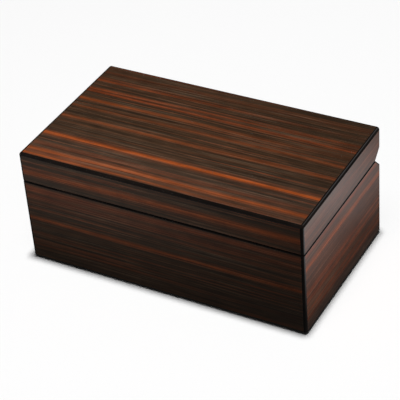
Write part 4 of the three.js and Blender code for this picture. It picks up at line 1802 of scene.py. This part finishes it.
def puffed_floor():
    """A panel with a level underside, puffed up between the dividers."""
    room_low, room_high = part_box("tray_floor_pad")
    half_place = (divider_pitch - divider_width) / 2
    columns = round((room_high.x - room_low.x) / FLOOR_STEP)
    lines = round((room_high.y - room_low.y) / FLOOR_STEP)
    mesh = bmesh.new()
    grid = []
    for y in steps_between(room_low.y, room_high.y, lines):
        grid.append([])
        for x in steps_between(room_low.x, room_high.x, columns):
            number = math.floor((x - room_low.x) / divider_pitch)
            middle_x = room_low.x + number * divider_pitch + half_place
            share = puff_share(x - middle_x, half_place) * puff_share(y, room_high.y)
            grid[-1].append(mesh.verts.new((x, y, room_high.z - PUFF + PUFF * share)))
    skin(mesh, grid)
    rim_edges = [edge for edge in mesh.edges if edge.is_boundary]
    rim = bmesh.ops.extrude_edge_only(mesh, edges=rim_edges)
    for part in rim["geom"]:
        if isinstance(part, bmesh.types.BMVert):
            part.co.z = room_low.z
    rim_edges = [edge for edge in mesh.edges if edge.is_boundary]
    bmesh.ops.holes_fill(mesh, edges=rim_edges, sides=0)
    bmesh.ops.recalc_face_normals(mesh, faces=mesh.faces)
    return keep(mesh, "tray_floor_lining")


tray_floor_lining = puffed_floor()
shade_by_angle(tray_floor_lining, WRAPPED_DEGREES)
dress(tray_floor_lining, suede_crosswise)
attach(tray_floor_lining, "tray")
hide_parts("tray_floor_pad")

# %% [markdown]
# Ribbon pulls
#
# The tray is lifted by a loop of satin ribbon at either end. Both ends of the ribbon are sewn to
# the wall just under the rim, and the fold hangs down, so that a finger slips behind it. A ribbon
# is a strip along a line: the line is drawn once, down, round the fold and up again, and each point
# of it becomes one row of points across. The strip carries its own map, so the weave follows it
# round the fold. Its cut length is measured along the line.

# %% Satin
RIBBON_RED = pigment(104, 24, 24)
RIBBON_SHADE = pigment(58, 12, 14)
RIBBON_THREADS = 60
RIBBON_RIBS = 90
RIBBON_SHEEN = 0.08
WEAVE_HEIGHT = 0.02 * MM
SELVEDGE_SHARES = (0.44, 0.48)
LEAST_WEAVE = 0.25
RIBBON_ROUGHNESS = 0.42
SELVEDGE_ROUGHNESS = 0.2
WARP_ROUGHNESS = 0.1


def red_satin():
    material, graph, _, _ = new_finish("red_satin")
    spread = graph.add("ShaderNodeUVMap", {"uv_map": "weave"})["UV"]
    apart = graph.add("ShaderNodeSeparateXYZ", None, {"Vector": spread})
    warp = wave(graph, apart["X"], 1 / RIBBON_THREADS)
    weft = wave(graph, apart["Y"], 1 / RIBBON_RIBS)
    selvedge = abs(apart["X"] - 0.5).rise(*SELVEDGE_SHARES)
    weave = warp * (1 - selvedge) + weft * selvedge
    tone = LEAST_WEAVE + (1 - LEAST_WEAVE) * weave
    return close_finish(
        material,
        graph,
        Base_Color=graph.mix(tone, RIBBON_SHADE, RIBBON_RED),
        Roughness=RIBBON_ROUGHNESS + SELVEDGE_ROUGHNESS * selvedge + WARP_ROUGHNESS * (1 - warp),
        Sheen_Weight=RIBBON_SHEEN,
        Normal=bump(graph, weave, WEAVE_HEIGHT),
    )


satin = red_satin()

# %% The ribbon's line and map
RIBBON_THICKNESS = 0.25 * MM
RIBBON_WALL_GAP = 0.12 * MM
RIBBON_ROUNDS = 10
RIBBON_STEPS = 24
RIBBON_COLUMNS = 12


def ribbon_line(wall_x, way, top_z, bottom_z, room):
    """Points (x, z) from one sewn end, down, round the fold and up to the other end."""
    near = wall_x + way * (RIBBON_WALL_GAP + RIBBON_THICKNESS / 2)
    far = wall_x + way * (room - RIBBON_THICKNESS / 2)
    middle_x = (near + far) / 2
    radius = abs(far - near) / 2
    fold_z = bottom_z + radius + RIBBON_THICKNESS / 2
    heights = steps_between(top_z, fold_z, RIBBON_STEPS)[:-1]
    turns = steps_between(0, math.pi, RIBBON_ROUNDS)
    down = [(near, z) for z in heights]
    fold = [
        (middle_x - (far - near) / 2 * math.cos(turn), fold_z - radius * math.sin(turn))
        for turn in turns
    ]
    return down + fold + [(far, z) for z in reversed(heights)]


def map_weave(mesh, grid, lengths):
    """Maps the strip: across from 0 to 1, and along by the share of its length."""
    layer = mesh.loops.layers.uv.new("weave")
    spots = {}
    for row_of_points, length in zip(grid, lengths):
        for column, point in enumerate(row_of_points):
            spots[point] = (column / RIBBON_COLUMNS, length / lengths[-1])
    for face in mesh.faces:
        for loop in face.loops:
            loop[layer].uv = spots[loop.vert]


# %% Sew in the pulls
def thicken(piece, thickness):
    """Gives a sheet its thickness, half to either side, and smooth shading."""
    body = piece.modifiers.new("thickness", "SOLIDIFY")
    body.thickness = thickness
    body.offset = 0
    piece.data.shade_smooth()


def ribbon_pull(name, node, way):
    """A ribbon loop at a tray wall. way is 1 for the left wall and -1 for the right one."""
    room_low, room_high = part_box(node)
    wall_x = room_low.x if way > 0 else room_high.x
    line = ribbon_line(wall_x, way, room_high.z, room_low.z, room_high.x - room_low.x)
    lengths = [0]
    for (x0, z0), (x1, z1) in zip(line, line[1:]):
        lengths.append(lengths[-1] + math.hypot(x1 - x0, z1 - z0))
    mesh = bmesh.new()
    across = steps_between(room_low.y, room_high.y, RIBBON_COLUMNS)
    grid = [[mesh.verts.new((x, y, z)) for y in across] for x, z in line]
    skin(mesh, grid)
    map_weave(mesh, grid, lengths)
    bmesh.ops.recalc_face_normals(mesh, faces=mesh.faces)
    ribbon = keep(mesh, name)
    thicken(ribbon, RIBBON_THICKNESS)
    dress(ribbon, satin)
    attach(ribbon, "tray")
    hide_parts(node)
    cut_size = (room_high.y - room_low.y, lengths[-1])
    print(name, "is cut", [round(side / MM, 1) for side in cut_size], "mm")


ribbon_pull("tray_ribbon_left", "tray_pull_left", 1)
ribbon_pull("tray_ribbon_right", "tray_pull_right", -1)

# %% [markdown]
# Felt under the base
#
# A sheet of near-black felt keeps the case from scratching a table. It is die-cut with rounded
# corners and glued on, so it lies flat, but felt is never quite even: a grid of small squares that
# slow waves lift and lower shows that at a glancing angle. The grid is cut as a square-cornered
# sheet first, and the points in its corners are then drawn in to a round.

# %% Felt
FELT_BLACK = pigment(22, 25, 27)
FELT_GREY = pigment(44, 47, 49)
FELT_FIBRE_SIZE = 0.8 * MM
FELT_FIBRE_HEIGHT = 0.12 * MM
FELT_SHEEN = 0.4
FELT_CURL = 1.5
FELT_SHARES = (0.4, 0.7)
CLOUD_SHARES = (0.4, 0.6)
FELT_ROUGHNESS = 0.92
FELT_FIBRE_ROUGHNESS = 0.06
FELT_SPECULAR = 0.15


def pressed_felt():
    material, graph, place, _ = new_finish("pressed_felt")
    fibres = graph.noise(
        place, 1 / FELT_FIBRE_SIZE, detail=4, roughness=FIBRE_FINENESS, Distortion=FELT_CURL
    )
    clouds = graph.noise(place, 1 / STROKE_LENGTH, detail=2)
    least, more = CLOUD_SHARES
    grey = fibres.rise(*FELT_SHARES) * (least + more * clouds)
    return close_finish(
        material,
        graph,
        Base_Color=graph.mix(grey, FELT_BLACK, FELT_GREY),
        Roughness=FELT_ROUGHNESS + FELT_FIBRE_ROUGHNESS * fibres,
        Specular_IOR_Level=FELT_SPECULAR,
        Sheen_Weight=FELT_SHEEN,
        Normal=bump(graph, fibres, FELT_FIBRE_HEIGHT),
    )


# %% Cut the felt
FELT_CORNER = 6 * MM
FELT_CELL = 4 * MM
FELT_UNEVEN = 0.12 * MM


def felt_point(x, y, reach_x, reach_y):
    """A point of a square-cornered sheet, drawn in where it lies in a corner."""
    past_x = abs(x) - (reach_x - FELT_CORNER)
    past_y = abs(y) - (reach_y - FELT_CORNER)
    if past_x > 0 and past_y > 0:
        squared = max(past_x, past_y) / math.hypot(past_x, past_y)
        x = math.copysign(reach_x - FELT_CORNER + past_x * squared, x)
        y = math.copysign(reach_y - FELT_CORNER + past_y * squared, y)
    return x, y


def cut_felt():
    """A sheet with round corners, a little uneven in height."""
    mesh = bmesh.new()
    columns = round((felt_high.x - felt_low.x) / FELT_CELL)
    lines = round((felt_high.y - felt_low.y) / FELT_CELL)
    bmesh.ops.create_grid(mesh, x_segments=columns, y_segments=lines, size=1)
    middle_z = (felt_low.z + felt_high.z) / 2
    for vertex in mesh.verts:
        flat = (vertex.co.x * felt_high.x, vertex.co.y * felt_high.y)
        x, y = felt_point(*flat, felt_high.x, felt_high.y)
        uneven = math.sin(x / STROKE_LENGTH * 2 * math.pi) * math.cos(y / STROKE_WIDTH)
        vertex.co = (x, y, middle_z + FELT_UNEVEN / 2 * uneven)
    return keep(mesh, "felt_sheet")


felt_low, felt_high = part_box("base_felt")
felt = cut_felt()
thicken(felt, felt_high.z - felt_low.z - FELT_UNEVEN)
dress(felt, pressed_felt())
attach(felt, "case_base")
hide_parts("base_felt")
print("the felt lies between z", round(felt_low.z / MM, 2), "and", round(felt_high.z / MM, 2), "mm")

# %% [markdown]
# Floor and studio light
#
# The case stands on a white sheet. Most of the light comes from a small lamp high overhead, a
# little to the right, and a broad weak one above the front softens its shadow. Four more lamps lift
# the front, the right end, the front left corner and the rear, and a fifth draws the light line
# along the lacquered edges. These five leave the floor alone, so that they throw no shadow there.
#
# The polished faces show what is round them, and in the photograph the front and the top mirror
# something dark while the right end mirrors the white table. So the floor itself is left out of the
# gloss and of the light that bounces, and a card just under it, seen in the gloss alone, is dark in
# front, a little brighter at the far left, bright beside the right end and dark again farther out.
# Beyond the floor the camera sees white, and the case gets no more than a faint glow from there.

# %% The floor and the card in the gloss
FLOOR_REACH = 12
FLOOR_WHITE = pigment(250, 250, 250)
FLOOR_ROUGHNESS = 0.9
CARD_SINK = 1 * MM
CARD_DARK = 0.04
CARD_BRIGHT = 0.98
CARD_LEFT = 0.16
CARD_RIGHT_SPAN = (10 * MM, 125 * MM)
CARD_FRONT_SPAN = (-25 * MM, 25 * MM)
CARD_END_SPAN = (245 * MM, 390 * MM)
CARD_LEFT_SPAN = (10 * MM, 130 * MM)
CARD_SLANT_SPAN = (70 * MM, 120 * MM)
CARD_SLANT = 6 * MM


def level_sheet(name, reach, z, material):
    """A level square that belongs to the stage."""
    mesh = bmesh.new()
    bmesh.ops.create_grid(mesh, x_segments=1, y_segments=1, size=reach)
    bmesh.ops.translate(mesh, vec=(0, 0, z), verts=mesh.verts)
    sheet = keep(mesh, name)
    dress(sheet, material)
    return sheet


def floor_white():
    material, graph, _, _ = new_finish("floor_white")
    return close_finish(material, graph, Base_Color=FLOOR_WHITE, Roughness=FLOOR_ROUGHNESS)


def card_glow():
    material, graph, _, place = new_finish("card_glow")
    past_front = (place["Y"] + half_depth).rise(*CARD_FRONT_SPAN)
    slant = place["Y"].rise(*CARD_SLANT_SPAN) * CARD_SLANT
    to_right = (place["X"] - half_width + slant).rise(*CARD_RIGHT_SPAN) * past_front
    far = (place["X"] * place["X"] + place["Y"] * place["Y"]) ** 0.5
    beside = to_right * (1 - far.rise(*CARD_END_SPAN))
    before = (-place["Y"] - half_depth).rise(*CARD_LEFT_SPAN)
    to_left = (-place["X"]).rise(-half_width, half_width) * before
    strength = CARD_DARK + (CARD_BRIGHT - CARD_DARK) * beside + (CARD_LEFT - CARD_DARK) * to_left
    glow = graph.add("ShaderNodeEmission", None, {"Strength": strength})
    graph.add("ShaderNodeOutputMaterial", None, {"Surface": glow["Emission"]})
    return material


floor = level_sheet("floor", FLOOR_REACH, 0, floor_white())
floor.visible_glossy = False
floor.visible_diffuse = False
card = level_sheet("gloss_card", FLOOR_REACH, -CARD_SINK, card_glow())
card.visible_camera = False
card.visible_diffuse = False
card.visible_shadow = False

# %% Lamps
# Each lamp: azimuth and elevation in degrees, with azimuth 0 in front and 90 to the right,
# distance and size in metres, and power in watts.
FLOOR_LAMPS = {
    "overhead_lamp": (122, 89.1, 6.0, 0.50, 345),
    "ceiling_lamp": (15, 72, 3.0, 1.2, 9),
}
CASE_LAMPS = {
    "front_fill_lamp": (-40, 58, 1.6, 1.1, 2.4),
    "right_lamp": (95, 14, 1.2, 0.5, 13),
    "left_front_lamp": (-35, 40, 0.5, 0.3, 2.2),
    "rear_lamp": (205, 8, 1.6, 0.5, 5),
    "edge_lamp": (149, 35, 1.6, 0.45, 0.5),
}


def softbox(name, azimuth, elevation, distance, size, power):
    """A square lamp that faces the case and doesn't show in its gloss."""
    turn = math.radians(azimuth)
    climb = math.radians(elevation)
    level = math.cos(climb)
    away = Vector((math.sin(turn) * level, -math.cos(turn) * level, math.sin(climb)))
    facing = away.to_track_quat("Z", "Y").to_matrix().to_4x4()
    data = bpy.data.lights.new(name, "AREA")
    data.shape = "SQUARE"
    data.size = size
    data.energy = power
    lamp = bpy.data.objects.new(name, data)
    lamp.matrix_world = Matrix.Translation(middle + away * distance) @ facing
    lamp.visible_glossy = False
    scene.collection.objects.link(lamp)
    return lamp


unlit = bpy.data.collections.new("unlit_by_case_lamps")
unlit.objects.link(floor)
unlit.collection_objects[0].light_linking.link_state = "EXCLUDE"
for name, setting in FLOOR_LAMPS.items():
    softbox(name, *setting)
for name, setting in CASE_LAMPS.items():
    lamp = softbox(name, *setting)
    lamp.light_linking.receiver_collection = unlit
    lamp.visible_glossy = name == "edge_lamp"
print(len(FLOOR_LAMPS) + len(CASE_LAMPS), "lamps")

# %% Surroundings
WORLD_SEEN = 1
WORLD_GLOW = 0.03
world = bpy.data.worlds.new("surroundings")
world.use_nodes = True
scene.world = world
graph = Graph(world.node_tree)
seen = graph.add("ShaderNodeLightPath")["Is Camera Ray"]
glow = WORLD_GLOW + (WORLD_SEEN - WORLD_GLOW) * seen
sky = graph.add("ShaderNodeBackground", None, {"Strength": glow})
graph.add("ShaderNodeOutputWorld", None, {"Surface": sky["Background"]})
scene.view_settings.view_transform = "Standard"
